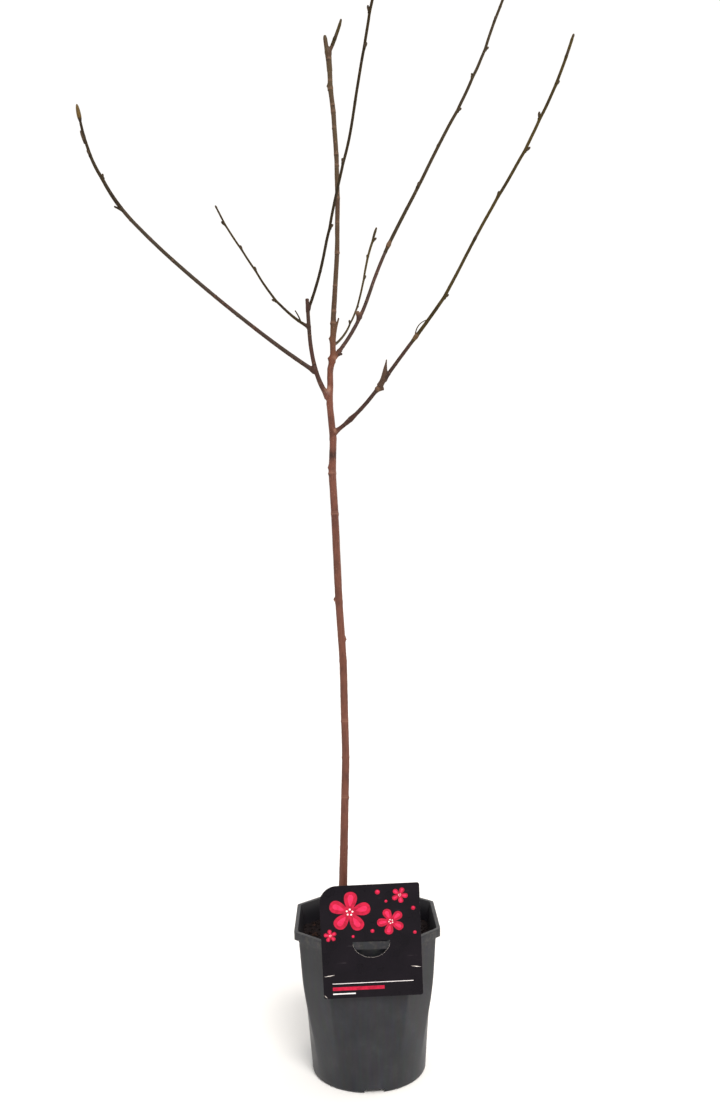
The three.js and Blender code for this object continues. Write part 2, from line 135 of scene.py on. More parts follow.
def add_node(owner, kind, give=None, stops=(), **values):
    """Adds a node and gives its first output, or the one named. Its settings are the values
    in lower case, and the others are its inputs. Stops are a ramp's places and colours."""
    made = owner.node_tree.nodes.new("ShaderNode" + kind)
    settings = {name: value for name, value in values.items() if name.islower()}
    for setting, value in settings.items():
        setattr(made, setting, value)
    set_inputs(owner, made, **{name: values[name] for name in values if name not in settings})
    for number, (place, colour) in enumerate(stops):
        while len(made.color_ramp.elements) < len(stops):
            made.color_ramp.elements.new(1)
        made.color_ramp.elements[number].position = place
        made.color_ramp.elements[number].color = linear(colour)
    return made.outputs[give] if give else next(output for output in made.outputs if output.enabled)


def add_light(name, kind, place, aim, colour, **settings):
    """A light that looks from its place at its aim."""
    bpy.ops.object.light_add(type=kind, location=place)
    light = bpy.context.object
    light.name = name
    light.rotation_euler = (Vector(aim) - Vector(place)).to_track_quat("-Z", "Y").to_euler()
    light.data.color = linear(colour)[:3]
    for setting, value in settings.items():
        setattr(light.data, setting, value)


FLOOR_SIZE = 60
ROOM_STRENGTHS = (1.05, 0.35)  # all round, and overhead
DIMMER_FROM = 0.47  # of the way up, as the sine of the angle
SUN_FROM, SUN_STRENGTH, SUN_WIDTH = (0.5, -1.9, 2), 2.5, math.radians(26)
LAMP_PLACE, LAMP_AIM, LAMP_POWER, LAMP_WIDTH = (1.9, 0.5, 1.4), (0, 0, 0.4), 9.5, 1.4

bpy.ops.mesh.primitive_plane_add(size=FLOOR_SIZE)
studio_floor = bpy.context.object
studio_floor.name = "studio_floor"
floor_paint, _ = new_material("matt_floor_paint", Roughness=0.85, Base_Color="#f9f9f8")
studio_floor.data.materials.append(floor_paint)
studio_floor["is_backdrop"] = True

room = bpy.data.worlds.new("pale_room")
room.use_nodes = True
looking = add_node(room, "TexCoord", give="Generated")
upward = add_node(room, "SeparateXYZ", give="Z", Vector=looking)
brightness = add_node(
    room, "MapRange", Value=upward, From_Min=DIMMER_FROM, From_Max=1,
    To_Min=ROOM_STRENGTHS[0], To_Max=ROOM_STRENGTHS[1],
)
set_inputs(room, room.node_tree.nodes["Background"], Color="#fffdfb", Strength=brightness)
bpy.context.scene.world = room
bpy.context.scene.view_settings.view_transform = "Standard"
add_light("window_sun", "SUN", SUN_FROM, (0, 0, 0), "#fffaf5", energy=SUN_STRENGTH, angle=SUN_WIDTH)
add_light(
    "side_lamp", "AREA", LAMP_PLACE, LAMP_AIM, "#fff1e2", energy=LAMP_POWER, shape="DISK", size=LAMP_WIDTH
)


# ---------------------------------------------------------------------------------- pot
# A nursery pot, injection moulded in dark grey polypropylene: a thin wall that is round at
# the foot and a chamfered square higher up, a flared rim with a down-turned skirt, and four
# drain slots cut through the foot.
POT_HEIGHT = 209
RIM_WIDTH = 185.8  # across the flats
BODY_WIDTH = 174.6  # across the flats, where the wall starts to flare
BASE_DIAMETER = 151
DISH_RADIUS, DISH_DEPTH = 66, 0.88  # the hollow under the floor
CORNER_ANGLE = 30  # degrees from a flat's middle to its end, seen from the pot's axis
CORNER_SHARPNESS = 140  # the power that rounds the corner between a flat and its chamfer
WALL = 1.8
POT_FLOOR = 2.2
LIP = 4.6
SKIRT = 10
SHOULDER = 15
FOOT_ROUNDING = 3.5
ROUND_BELOW = 5
SQUARE_ABOVE = 150
POT_FACETS = 288
WALL_RINGS = 30
EDGE_ROUNDING = 0.45
DRAIN = dict(width=26, height=6, reach=14, corner=3, count=4, turn=4)
FACING_IN = -0.3  # of the way outwards


def pot_half_width(height, inset=0):
    """Half the width across the flats at a height, outside the wall or inside it."""
    share = height / (POT_HEIGHT - SHOULDER)
    return BASE_DIAMETER / 2 + (BODY_WIDTH - BASE_DIAMETER) / 2 * share - inset


def pot_radius(angle, half_width, height):
    """The level section's radius at an angle: a circle low down, a chamfered square above."""
    share = min(max((height - ROUND_BELOW) / (SQUARE_ABOVE - ROUND_BELOW), 0), 1)
    squareness = share * share * (3 - 2 * share)
    across, along = abs(math.cos(angle)), abs(math.sin(angle))
    flat = half_width / max(across, along)
    chamfer = half_width * (1 + math.tan(math.radians(CORNER_ANGLE))) / (across + along)
    power = -CORNER_SHARPNESS
    square = min(flat, chamfer) * (1 + (min(flat, chamfer) / max(flat, chamfer)) ** -power) ** (1 / power)
    return half_width + (square - half_width) * squareness


def select_only(piece):
    bpy.ops.object.select_all(action="DESELECT")
    bpy.context.view_layer.objects.active = piece
    piece.select_set(True)


def face_outwards():
    """Turns the faces of the mesh in edit mode outwards, and leaves edit mode."""
    bpy.ops.mesh.select_all(action="SELECT")
    bpy.ops.mesh.normals_make_consistent(inside=False)
    bpy.ops.object.mode_set(mode="OBJECT")


def smooth_to(degrees):
    """Shades the selected piece smooth, but for its edges sharper than this."""
    bpy.ops.object.shade_smooth_by_angle(angle=math.radians(degrees))


def raise_walls(name, outline, facets):
    """A closed skin: a ring of vertices, extruded to each half width and height in turn."""
    bpy.ops.object.select_all(action="DESELECT")
    bpy.ops.mesh.primitive_circle_add(vertices=facets, radius=1)
    walls = bpy.context.object
    walls.name = name
    bpy.ops.object.mode_set(mode="EDIT")
    for number, (half_width, height) in enumerate(outline):
        if number > 0:
            bpy.ops.mesh.extrude_region_move()
        ring = bmesh.from_edit_mesh(walls.data)
        for vertex in (v for v in ring.verts if v.select):
            angle = math.atan2(vertex.co.y, vertex.co.x)
            radius = pot_radius(angle, half_width, height) * MM
            vertex.co = (radius * math.cos(angle), radius * math.sin(angle), height * MM)
        bmesh.update_edit_mesh(walls.data)
    bpy.ops.mesh.select_all(action="SELECT")
    bpy.ops.mesh.fill_holes(sides=0)
    face_outwards()
    return walls


def apply_modifier(piece, kind, **settings):
    """Adds a modifier to a piece, sets it and applies it."""
    select_only(piece)
    modifier = piece.modifiers.new(kind.lower(), kind)
    for setting, value in settings.items():
        setattr(modifier, setting, value)
    bpy.ops.object.modifier_apply(modifier=modifier.name)


def set_attribute(piece, name, values):
    attribute = piece.data.attributes.new(name, "FLOAT", "POINT")
    attribute.data.foreach_set("value", np.asarray(values, dtype=np.float32))


wall_heights = np.linspace(FOOT_ROUNDING, POT_HEIGHT - SHOULDER, WALL_RINGS)
rim = RIM_WIDTH / 2
pot_outline = [
    (DISH_RADIUS - 4, DISH_DEPTH),
    (DISH_RADIUS, DISH_DEPTH),
    (DISH_RADIUS + 0.6, 0),
    *(
        (pot_half_width(0) - FOOT_ROUNDING * (1 - math.sin(a)), FOOT_ROUNDING * (1 - math.cos(a)))
        for a in np.radians(np.linspace(0, 90, 5)[:-1])
    ),
    *((pot_half_width(height), height) for height in wall_heights),
    (rim - LIP + WALL, POT_HEIGHT - WALL - 5),
    (rim - LIP + WALL + 0.6, POT_HEIGHT - WALL),
    (rim - WALL, POT_HEIGHT - WALL),
    (rim - WALL + 0.4, POT_HEIGHT - SKIRT),
    (rim, POT_HEIGHT - SKIRT),
    (rim, POT_HEIGHT - SKIRT / 2),
    (rim, POT_HEIGHT),
    (rim - LIP, POT_HEIGHT),
    *((pot_half_width(height, WALL), height) for height in wall_heights[::-1]),
    (pot_half_width(POT_FLOOR, 2 * WALL), POT_FLOOR),
]
pot = raise_walls("nursery_pot", pot_outline, POT_FACETS)
for number in range(DRAIN["count"]):
    bpy.ops.mesh.primitive_cube_add(size=1)
    slot_cutter = bpy.context.object
    size = Matrix.Diagonal((2 * DRAIN["reach"], DRAIN["width"], 2 * DRAIN["height"], 1))
    turn = math.radians(-90 + DRAIN["turn"] + number * 360 / DRAIN["count"])
    slot_cutter.data.transform(Matrix.Scale(MM, 4) @ Matrix.Translation((BASE_DIAMETER / 2, 0, 0)) @ size)
    apply_modifier(slot_cutter, "BEVEL", width=DRAIN["corner"] * MM, segments=4)
    slot_cutter.data.transform(Matrix.Rotation(turn, 4, "Z"))
    apply_modifier(pot, "BOOLEAN", object=slot_cutter, operation="DIFFERENCE", solver="EXACT")
    bpy.data.objects.remove(slot_cutter)
apply_modifier(
    pot, "BEVEL", width=EDGE_ROUNDING * MM, segments=2, limit_method="ANGLE", angle_limit=math.radians(38)
)
smooth_to(32)
outwards = [vertex.co.xy.to_3d().normalized() for vertex in pot.data.vertices]
set_attribute(
    pot, "inside", [vertex.normal.dot(out) < FACING_IN for vertex, out in zip(pot.data.vertices, outwards)]
)

# Moulded polypropylene: satin, with the fine pebble that a worn mould leaves, pale flow
# lines that run up the wall, rubbed patches, and a film of dried soil near the rim. The
# wall's inside is painted nearly black as painted shade. Textures are sized by 1000 / millimetres.
PEBBLE, DUST, RUBS = 1.1, 6.25, 38  # mm across a grain, a fleck and a rubbed patch
FLOW_LINES = 4.762  # mm apart
moulded, moulded_shader = new_material("moulded_polypropylene", IOR=1.49, Specular_IOR_Level=0.27)
place = add_node(moulded, "TexCoord", give="Object")
rubs = add_node(moulded, "TexNoise", Vector=place, Scale=1000 / RUBS, Detail=5, Roughness=0.6)
upright = add_node(moulded, "Mapping", Vector=place, Scale=(1, 1, 0.06))
flow = add_node(moulded, "TexNoise", give="Color", Vector=upright, Scale=1000 / FLOW_LINES, Detail=3)
tint = add_node(
    moulded, "ValToRGB", Fac=rubs, stops=[(0.32, "#1f2024"), (0.55, "#26272b"), (0.72, "#2f3034")]
)
tint = add_node(
    moulded, "Mix", data_type="RGBA", blend_type="SOFT_LIGHT", Factor_Float=0.3, A_Color=tint, B_Color=flow
)
height = add_node(moulded, "SeparateXYZ", give="Z", Vector=place)
near_rim = add_node(moulded, "MapRange", Value=height, From_Min=0.17, From_Max=0.207)
dust = add_node(moulded, "TexNoise", Vector=place, Scale=1000 / DUST, Detail=8, Roughness=0.7)
dust_share = add_node(moulded, "MapRange", Value=dust, From_Min=0.5, From_Max=0.78, To_Max=0.55)
film = add_node(moulded, "Math", operation="MULTIPLY", Value=dust_share, Value_001=near_rim)
# Painted shade: where the wall faces inwards, its colour is mixed towards near black.
inside_painted_shade = add_node(moulded, "Attribute", give="Fac", attribute_name="inside")
for share, colour in ((film, "#5b554d"), (inside_painted_shade, "#121116")):
    tint = add_node(moulded, "Mix", data_type="RGBA", Factor_Float=share, A_Color=tint, B_Color=colour)
gloss = add_node(moulded, "MapRange", Value=rubs, From_Min=0.3, From_Max=0.7, To_Min=0.36, To_Max=0.5)
pebble = add_node(moulded, "TexNoise", Vector=place, Scale=1000 / PEBBLE, Detail=3)
relief = add_node(moulded, "Bump", Height=pebble, Strength=0.25, Distance=0.15 * MM)
set_inputs(moulded, moulded_shader, Base_Color=tint, Roughness=gloss, Normal=relief)
pot.data.materials.append(moulded)
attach(pot, "root")
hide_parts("pot")


# --------------------------------------------------------------------------------- soil
# Moist peat with shredded bark, pressed down 26 mm under the rim. It drinks the light and
# shows nearly black. Loose crumbs lie on it, and bark chips, a little redder and paler
# where they have dried, and a few bleached straws.
SOIL_LEVEL = 183
SOIL_DEPTH = 25  # only the top of the fill is ever seen
SOIL_FACETS = 180
SOIL_RINGS = 56
WALL_GAP = 0.3
TRUNK_FOOT = (-32.6, 3)
LITTER = {  # forms, stretch, roughness, seed, then count, sizes, tilt and height of strewing
    "peat_crumbs": ((5, (1, 0.85, 0.7), 0.9, 0), (900, 1.6, 6.5, 3, 0.12)),
    "bark_chips": ((4, (1, 0.42, 0.16), 0.7, 20), (170, 4, 13, 0.5, 0.05)),
    "pale_straws": ((3, (1, 0.07, 0.05), 0.5, 40), (16, 6, 15, 0.25, 0.09)),
}
EARTHS = {  # sharpest smooth edge, material, dark, middle and light tone, size of a patch
    "potting_soil_skin": (50, "moist_peat", "#0c0809", "#171012", "#271c19", 3.5),
    "peat_crumbs": (40, "peat_crumb", "#0e0a0a", "#191213", "#2b1f1b", 2.5),
    "bark_chips": (30, "shredded_bark", "#170e0c", "#291a15", "#453023", 4),
    "pale_straws": (180, "dry_straw", "#6b5738", "#9a8258", "#c4ac7c", 5),
}
rng = np.random.default_rng(7)


def soil_height(x, y):
    """The height of the soil's skin: a slight mound round the trunk, and lumps."""
    mound = 2.4 * math.exp(-math.hypot(x - TRUNK_FOOT[0], y - TRUNK_FOOT[1]) / 22)
    lumps = noise.fractal(Vector((x / 17, y / 17, 0)), 1, 2, 4) * 2.1
    grains = noise.noise(Vector((x / 2.6, y / 2.6, 9))) * 0.8
    return SOIL_LEVEL - 1.6 + mound + lumps + grains


wall_reach = pot_half_width(SOIL_LEVEL, WALL + WALL_GAP)
soil = raise_walls("potting_soil_skin", [
    (8, SOIL_LEVEL - SOIL_DEPTH),
    (pot_half_width(SOIL_LEVEL - SOIL_DEPTH, WALL + WALL_GAP), SOIL_LEVEL - SOIL_DEPTH),
    *((wall_reach * share, SOIL_LEVEL) for share in np.linspace(1, 0.02, SOIL_RINGS)),
], SOIL_FACETS)
for vertex in soil.data.vertices:
    if vertex.co.z > (SOIL_LEVEL - 1) * MM:
        vertex.co.z = soil_height(vertex.co.x / MM, vertex.co.y / MM) * MM


def rough_lump(stretch, roughness, seed):
    """An icosphere 1 mm across, stretched and broken up. It is a master for copies."""
    bpy.ops.object.select_all(action="DESELECT")
    bpy.ops.mesh.primitive_ico_sphere_add(subdivisions=2, radius=0.5 * MM)
    lump = bpy.context.object
    for vertex in lump.data.vertices:
        spot = vertex.co / MM * 1.7 + Vector((seed * 5.3, 0, 0))
        vertex.co *= 1 + roughness * noise.noise(spot)
        vertex.co = Vector(a * b for a, b in zip(vertex.co, stretch))
    return lump


def deal_out(name, masters, placements):
    """One mesh of many copies, from a master's number and a matrix for each. The masters
    are removed."""
    joined = bmesh.new()
    for number, matrix in placements:
        copy = masters[number].data.copy()
        copy.transform(matrix)
        joined.from_mesh(copy)
        bpy.data.meshes.remove(copy)
    mesh = bpy.data.meshes.new(name)
    joined.to_mesh(mesh)
    joined.free()
    piece = bpy.data.objects.new(name, mesh)
    bpy.context.scene.collection.objects.link(piece)
    for master in masters:
        bpy.data.objects.remove(master)
    return piece


def strewn(variants, count, low, high, tilt, sink):
    """Placements on the soil: a master's number and a matrix with place, turn and size."""
    placements = []
    while len(placements) < count:
        x, y = rng.uniform(-wall_reach, wall_reach, 2)
        size = low * (high / low) ** (rng.random() ** 2)
        room_left = pot_radius(math.atan2(y, x), wall_reach, SOIL_LEVEL) - math.hypot(x, y)
        turn = Matrix.Rotation(rng.uniform(0, math.tau), 4, "Z")
        for axis in "XY":
            turn = turn @ Matrix.Rotation(rng.uniform(-tilt, tilt), 4, axis)
        if room_left < size * 0.75:
            continue
        middle = Vector((x, y, soil_height(x, y) + size * sink)) * MM
        lying = Matrix.Translation(middle) @ turn @ Matrix.Scale(size, 4)
        placements.append((rng.integers(variants), lying))
    return placements


for name, (form, strewing) in LITTER.items():
    masters = [rough_lump(*form[1:3], form[3] + i) for i in range(form[0])]
    deal_out(name, masters, strewn(form[0], *strewing))
for name, (sharpest, finish, dark, middle, light, grain) in EARTHS.items():
    earth = bpy.data.objects[name]
    select_only(earth)
    smooth_to(sharpest)
    material, shader = new_material(finish, Roughness=0.92, Specular_IOR_Level=0.15)
    spot = add_node(material, "TexCoord", give="Object")
    mottle = add_node(material, "TexNoise", Vector=spot, Scale=1000 / grain, Detail=6, Roughness=0.65)
    tint = add_node(material, "ValToRGB", Fac=mottle, stops=[(0.34, dark), (0.54, middle), (0.72, light)])
    bump = add_node(material, "Bump", Height=mottle, Strength=0.7, Distance=grain * 0.12 * MM)
    set_inputs(material, shader, Base_Color=tint, Normal=bump)
    earth.data.materials.append(material)
    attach(earth, "root")
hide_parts("potting_soil")


# -------------------------------------------------------------------------- plant label
# A die-cut card of black laminated plastic. A half-round tongue cut from its middle is
# folded back over the rim and down inside it, so that the card hangs on the pot's front.
CARD_WIDTH = 123
CARD_ABOVE = 72  # from the fold up, and as much down
CARD_THICKNESS = 0.6
BIG_CORNER, SMALL_CORNER = (22, 24), (3, 8)  # radius and points: the upper left one, the others
TONGUE_WIDTH = 46
TONGUE_LENGTH = 20.5
TONGUE_GAP = 0.3
BEND_RADIUS = 1.2
SLICE = 0.5  # mm between the cuts across the tongue
CARD_OFFSET = 4
CARD_ROLL = math.radians(1.4)
CARD_FRONT = -(rim + WALL_GAP + CARD_THICKNESS)
fold_height = POT_HEIGHT + WALL_GAP + TONGUE_WIDTH / 2 * math.sin(CARD_ROLL)
hang = Matrix.Translation(Vector((CARD_OFFSET, 0, fold_height)) * MM) @ Matrix.Rotation(-CARD_ROLL, 4, "Y")


def arc(centre, radius, start, end, steps, rise=None):
    """Points on an arc between two angles in degrees, or on an ellipse's with another rise."""
    turns = np.radians(np.linspace(start, end, steps))
    return [(centre[0] + radius * math.cos(a), centre[1] + (rise or radius) * math.sin(a)) for a in turns]


def curve_mesh(name, lines, radii=None, **settings):
    """The mesh of a curve with these settings, through lines of points in millimetres. The
    lines are closed unless their points have radii."""
    curve = bpy.data.curves.new(name, "CURVE")
    for setting, value in settings.items():
        setattr(curve, setting, value)
    for number, line in enumerate(lines):
        spline = curve.splines.new("POLY")
        spline.points.add(len(line) - 1)
        corners = np.column_stack([np.array(line) * MM, np.ones(len(line))])
        spline.points.foreach_set("co", corners.ravel())
        if radii:
            spline.points.foreach_set("radius", radii[number])
        else:
            spline.use_cyclic_u = True
    piece = bpy.data.objects.new(name, curve)
    bpy.context.scene.collection.objects.link(piece)
    select_only(piece)
    bpy.ops.object.convert(target="MESH")
    return piece


def flat_shape(name, outlines, thickness, edge=0.0):
    """A plate cut to outlines in the XZ plane, the later ones as holes, with its middle at
    Y 0 and its edges rounded. All in millimetres."""
    plate = curve_mesh(
        name, [[(x, z, 0) for x, z in outline] for outline in outlines], dimensions="2D",
        fill_mode="BOTH", extrude=(thickness / 2 - edge) * MM, bevel_depth=edge * MM,
        bevel_resolution=1, offset=-edge * MM,
    )
    plate.data.transform(Matrix.Rotation(math.pi / 2, 4, "X"))
    bpy.ops.object.mode_set(mode="EDIT")
    bpy.ops.mesh.select_all(action="SELECT")
    bpy.ops.mesh.remove_doubles(threshold=0.005 * MM)
    face_outwards()
    return plate


card_outline = []
for side, level, (radius, steps), start in (
    (1, -1, SMALL_CORNER, -90), (1, 1, SMALL_CORNER, 0),
    (-1, 1, BIG_CORNER, 90), (-1, -1, SMALL_CORNER, 180),
):
    middle = (side * (CARD_WIDTH / 2 - radius), level * (CARD_ABOVE - radius))
    card_outline += arc(middle, radius, start, start + 90, steps)
tongue_cut = arc((0, 0), TONGUE_WIDTH / 2, 180, 360, 40, TONGUE_LENGTH)
card = flat_shape("label_card", [card_outline, tongue_cut], CARD_THICKNESS, 0.12)
card.data.transform(hang @ Matrix.Translation((0, (CARD_FRONT + CARD_THICKNESS / 2) * MM, 0)))
smooth_to(40)

# The tongue is cut flat, sliced across, and then led back over the rim and down.
tongue_shape = arc((0, 0), TONGUE_WIDTH / 2 - TONGUE_GAP, 180, 360, 40, TONGUE_LENGTH - TONGUE_GAP)
tongue = flat_shape("label_tongue", [tongue_shape], CARD_THICKNESS, 0.1)
bpy.ops.object.mode_set(mode="EDIT")
for slice_at in np.arange(SLICE, TONGUE_LENGTH - 1, SLICE):
    bpy.ops.mesh.select_all(action="SELECT")
    bpy.ops.mesh.bisect(plane_co=(0, 0, -slice_at * MM), plane_no=(0, 0, 1))
bpy.ops.object.mode_set(mode="OBJECT")
inner_wall = -(pot_half_width(POT_HEIGHT - SHOULDER, WALL) - 2 * WALL_GAP)
bend_start = inner_wall - CARD_FRONT - BEND_RADIUS
path_steps = np.linspace(0, TONGUE_LENGTH, 400)
headings = np.clip((path_steps - bend_start) / (math.pi / 2 * BEND_RADIUS), 0, 1) * math.pi / 2
back, down = (
    np.concatenate([[0], np.cumsum(run(headings[:-1]) * np.diff(path_steps))]) for run in (np.cos, np.sin)
)
for vertex in tongue.data.vertices:
    reach, side = -vertex.co.z / MM, -vertex.co.y / MM
    heading, gone_back, gone_down = (
        float(np.interp(reach, path_steps, path)) for path in (headings, back, down)
    )
    y = CARD_FRONT + CARD_THICKNESS / 2 + gone_back + side * math.sin(heading)
    z = CARD_THICKNESS / 2 - gone_down + side * math.cos(heading)
    vertex.co = Vector((vertex.co.x / MM, y, z)) * MM
tongue.data.transform(hang)
bpy.ops.object.mode_set(mode="EDIT")
face_outwards()
smooth_to(40)

# Laminated black card: a smooth, half-glossy skin that bows by a hair, with fine handling
# scratches that show pale. Real ones are 0.05 mm wide; these are drawn three times that.
SCRATCHES, WORN_AREAS, BOW = 1.111, 29.41, 71.43  # mm apart, and mm across
laminate, laminate_shader = new_material("black_laminated_card", IOR=1.5, Specular_IOR_Level=0.1)
spot = add_node(laminate, "TexCoord", give="Object")
stretched = add_node(laminate, "Mapping", Vector=spot, Rotation=(0, 0.16, 0), Scale=(0.05, 1, 1))
scratches = add_node(laminate, "TexNoise", Vector=stretched, Scale=1000 / SCRATCHES, Detail=2)
worn_areas = add_node(laminate, "TexNoise", Vector=spot, Scale=1000 / WORN_AREAS, Detail=3)
scratch_lines = add_node(laminate, "MapRange", Value=scratches, From_Min=0.69, From_Max=0.74)
where_worn = add_node(laminate, "MapRange", Value=worn_areas, From_Min=0.55, From_Max=0.7, To_Max=0.3)
scratch_share = add_node(laminate, "Math", operation="MULTIPLY", Value=scratch_lines, Value_001=where_worn)
blacks = add_node(laminate, "ValToRGB", Fac=worn_areas, stops=[(0.3, "#0c090f"), (0.7, "#140f16")])
scratched = add_node(
    laminate, "Mix", data_type="RGBA", Factor_Float=scratch_share, A_Color=blacks, B_Color="#8d8588"
)
sheen = add_node(
    laminate, "MapRange", Value=worn_areas, From_Min=0.35, From_Max=0.65, To_Min=0.24, To_Max=0.4
)
bow = add_node(laminate, "TexNoise", Vector=spot, Scale=1000 / BOW, Detail=1)
bowed = add_node(laminate, "Bump", Height=bow, Strength=0.5, Distance=1.2 * MM)
set_inputs(laminate, laminate_shader, Base_Color=scratched, Roughness=sheen, Normal=bowed)
for cut_part in (card, tongue):
    cut_part.data.materials.append(laminate)
    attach(cut_part, "root")
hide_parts("plant_label")
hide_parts("plant_label")

# The print on the card, in three flat inks one over the other: open five-petalled
# blossoms, loose round buds, and plain bars along the foot. Where the card is scuffed, and
# along the tongue's cut, its pale core is bared.
INK = 0.03  # mm, each layer
THIN_PATCHES = 4.167  # mm across
BLOSSOMS = [  # middle, petal length, turn in degrees
    ((-25, 38), 26, 12), ((25, 24), 17, 40), ((37, 57), 10, -8), ((-50, 9), 8, 25),
]
ROUND_BUDS = [  # middle, radius
    ((10, 62), 3), ((2, 13), 2.4), ((53, 40), 2.6), ((54, 9), 2.2), ((-22, 7), 1.8), ((20, 50), 1.8),
]
PETALS = 5


def petal(middle, length, width, heading):
    """A rounded petal's outline, from a blossom's middle outwards."""
    points = []
    for a in np.linspace(0, math.tau, 28, endpoint=False):
        out = (1 - math.cos(a)) / 2
        along, across = length * out, width / 2 * math.sin(a) * (0.3 + 0.7 * out)
        points.append((
            middle[0] + along * math.cos(heading) - across * math.sin(heading),
            middle[1] + along * math.sin(heading) + across * math.cos(heading),
        ))
    return points


def bar(left, right, low, high):
    return [(left, low), (right, low), (right, high), (left, high)]


def sliver(start, end, width):
    """A thin pointed mark between two places."""
    middle = ((start[0] + end[0]) / 2, (start[1] + end[1]) / 2)
    return [start, (middle[0], middle[1] - width / 2), end, (middle[0], middle[1] + width / 2)]


crimson, rose, white = [], [], []
for middle, length, turn in BLOSSOMS:
    for number in range(PETALS):
        heading = math.radians(turn + number * 360 / PETALS)
        inner, seed = (
            (middle[0] + length * out * math.cos(heading), middle[1] + length * out * math.sin(heading))
            for out in (0.3, 0.14)
        )
        crimson.append(petal(middle, length, length * 0.86, heading))
        rose.append(petal(inner, length * 0.55, length * 0.36, heading))
        white.append(arc(seed, length * 0.045, 0, 330, 12))
for middle, radius in ROUND_BUDS:
    crimson.append(arc(middle, radius, 0, 345, 24))
    rose.append(arc((middle[0], middle[1] + radius * 0.3), radius * 0.45, 0, 345, 16))
crimson.append(bar(-50, 14, -62, -57.5))
white += [bar(-50, 50, -53.4, -52.6), bar(-50, -22, -67, -65.4)]
cut_edge = [arc((0, 0), TONGUE_WIDTH / 2 + out, 188, 352, 40, TONGUE_LENGTH + out) for out in (0.2, 0.32)]
bare = [
    sliver((-60.5, -43.5), (-46, -41.5), 1.1), sliver((47, -34), (61, -36), 1.2),
    sliver((-61, -67), (-57, -71.5), 1.3), cut_edge[0] + cut_edge[1][::-1],
]
INKS = {  # outlines, layer, colour, and the colour where it is thin
    "crimson_print": (crimson, 1, "#bb1239", "#9c0c2c"),
    "rose_print": (rose, 2, "#dc2a58", "#c81c48"),
    "white_print": (white, 3, "#efe9ea", "#dcd5d6"),
    "bared_card": (bare, 3, "#d9d2cd", "#bdb4ae"),
}
for name, (outlines, layer, full, thin) in INKS.items():
    # Screen ink: a thin even film, a touch glossier than the card, uneven in tone.
    marks = [flat_shape(f"{name}_{number}", [outline], INK) for number, outline in enumerate(outlines)]
    lifts = [(layer + number % 7 / 9) * INK for number in range(len(marks))]
    printed = deal_out(name, marks, [
        (number, hang @ Matrix.Translation((0, (CARD_FRONT - lift) * MM, 0)))
        for number, lift in enumerate(lifts)
    ])
    ink, ink_shader = new_material(f"{name}_ink", Roughness=0.34, Specular_IOR_Level=0.2)
    spot = add_node(ink, "TexCoord", give="Object")
    film = add_node(ink, "TexNoise", Vector=spot, Scale=1000 / THIN_PATCHES, Detail=4)
    tone = add_node(ink, "ValToRGB", Fac=film, stops=[(0.35, thin), (0.6, full)])
    set_inputs(ink, ink_shader, Base_Color=tone)
    printed.data.materials.append(ink)
    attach(printed, "root")


# ---------------------------------------------------------------------- trunk and boughs
# A young stem trained to a single leader, with three long boughs and a short pruned one.
# The bark is thin and smooth: red-brown low down and olive-brown above, with a ring and a
# leaf scar at each old node, pale lenticels, and a swollen collar under every limb.
TRUNK_STRETCHES = [  # length, lean to the right, lean to the back, in degrees
    (120, 2.4, -0.6), (120, 2.3, 0.5), (125, -0.3, -0.8), (75, -2.7, -1.2), (110, -1.5, 0.6),
    (50, -2.1, 1.4), (42, 2.4, 0.9), (42, -4.1, -1.6), (42, 2.4, 1.2), (10, 16.4, 4), (44, 2.2, -1),
    (82, 4.6, -1.2), (62, 1.8, 0.8), (50, -0.4, 1.4), (48, -3.1, 0.6), (25, -5.9, -0.4), (40, -1.7, 0.5),
]
TRUNK_DIAMETERS = [11.8, 10, 9.3, 9.1, 9.1, 8.9, 7, 5.3, 5.2, 5.6]
FOOT_BELOW = 1
FLARE = 5.6
FLARE_HEIGHT = 13
RIGHT_FORK, LEFT_FORK, MIDDLE_FORK, INNER_FORK = 648, 689, 738, 754
TRUNK_STUBS = [  # at, heading, rise, length, diameter
    (1048, 180, 40, 5, 2.4), (757, 200, 50, 7, 2.6), (758, -12, 74, 29, 2.2), (733, 175, 62, 8, 5),
    (604, 185, 40, 6, 3.4), (391, 0, 30, 6, 4),
]
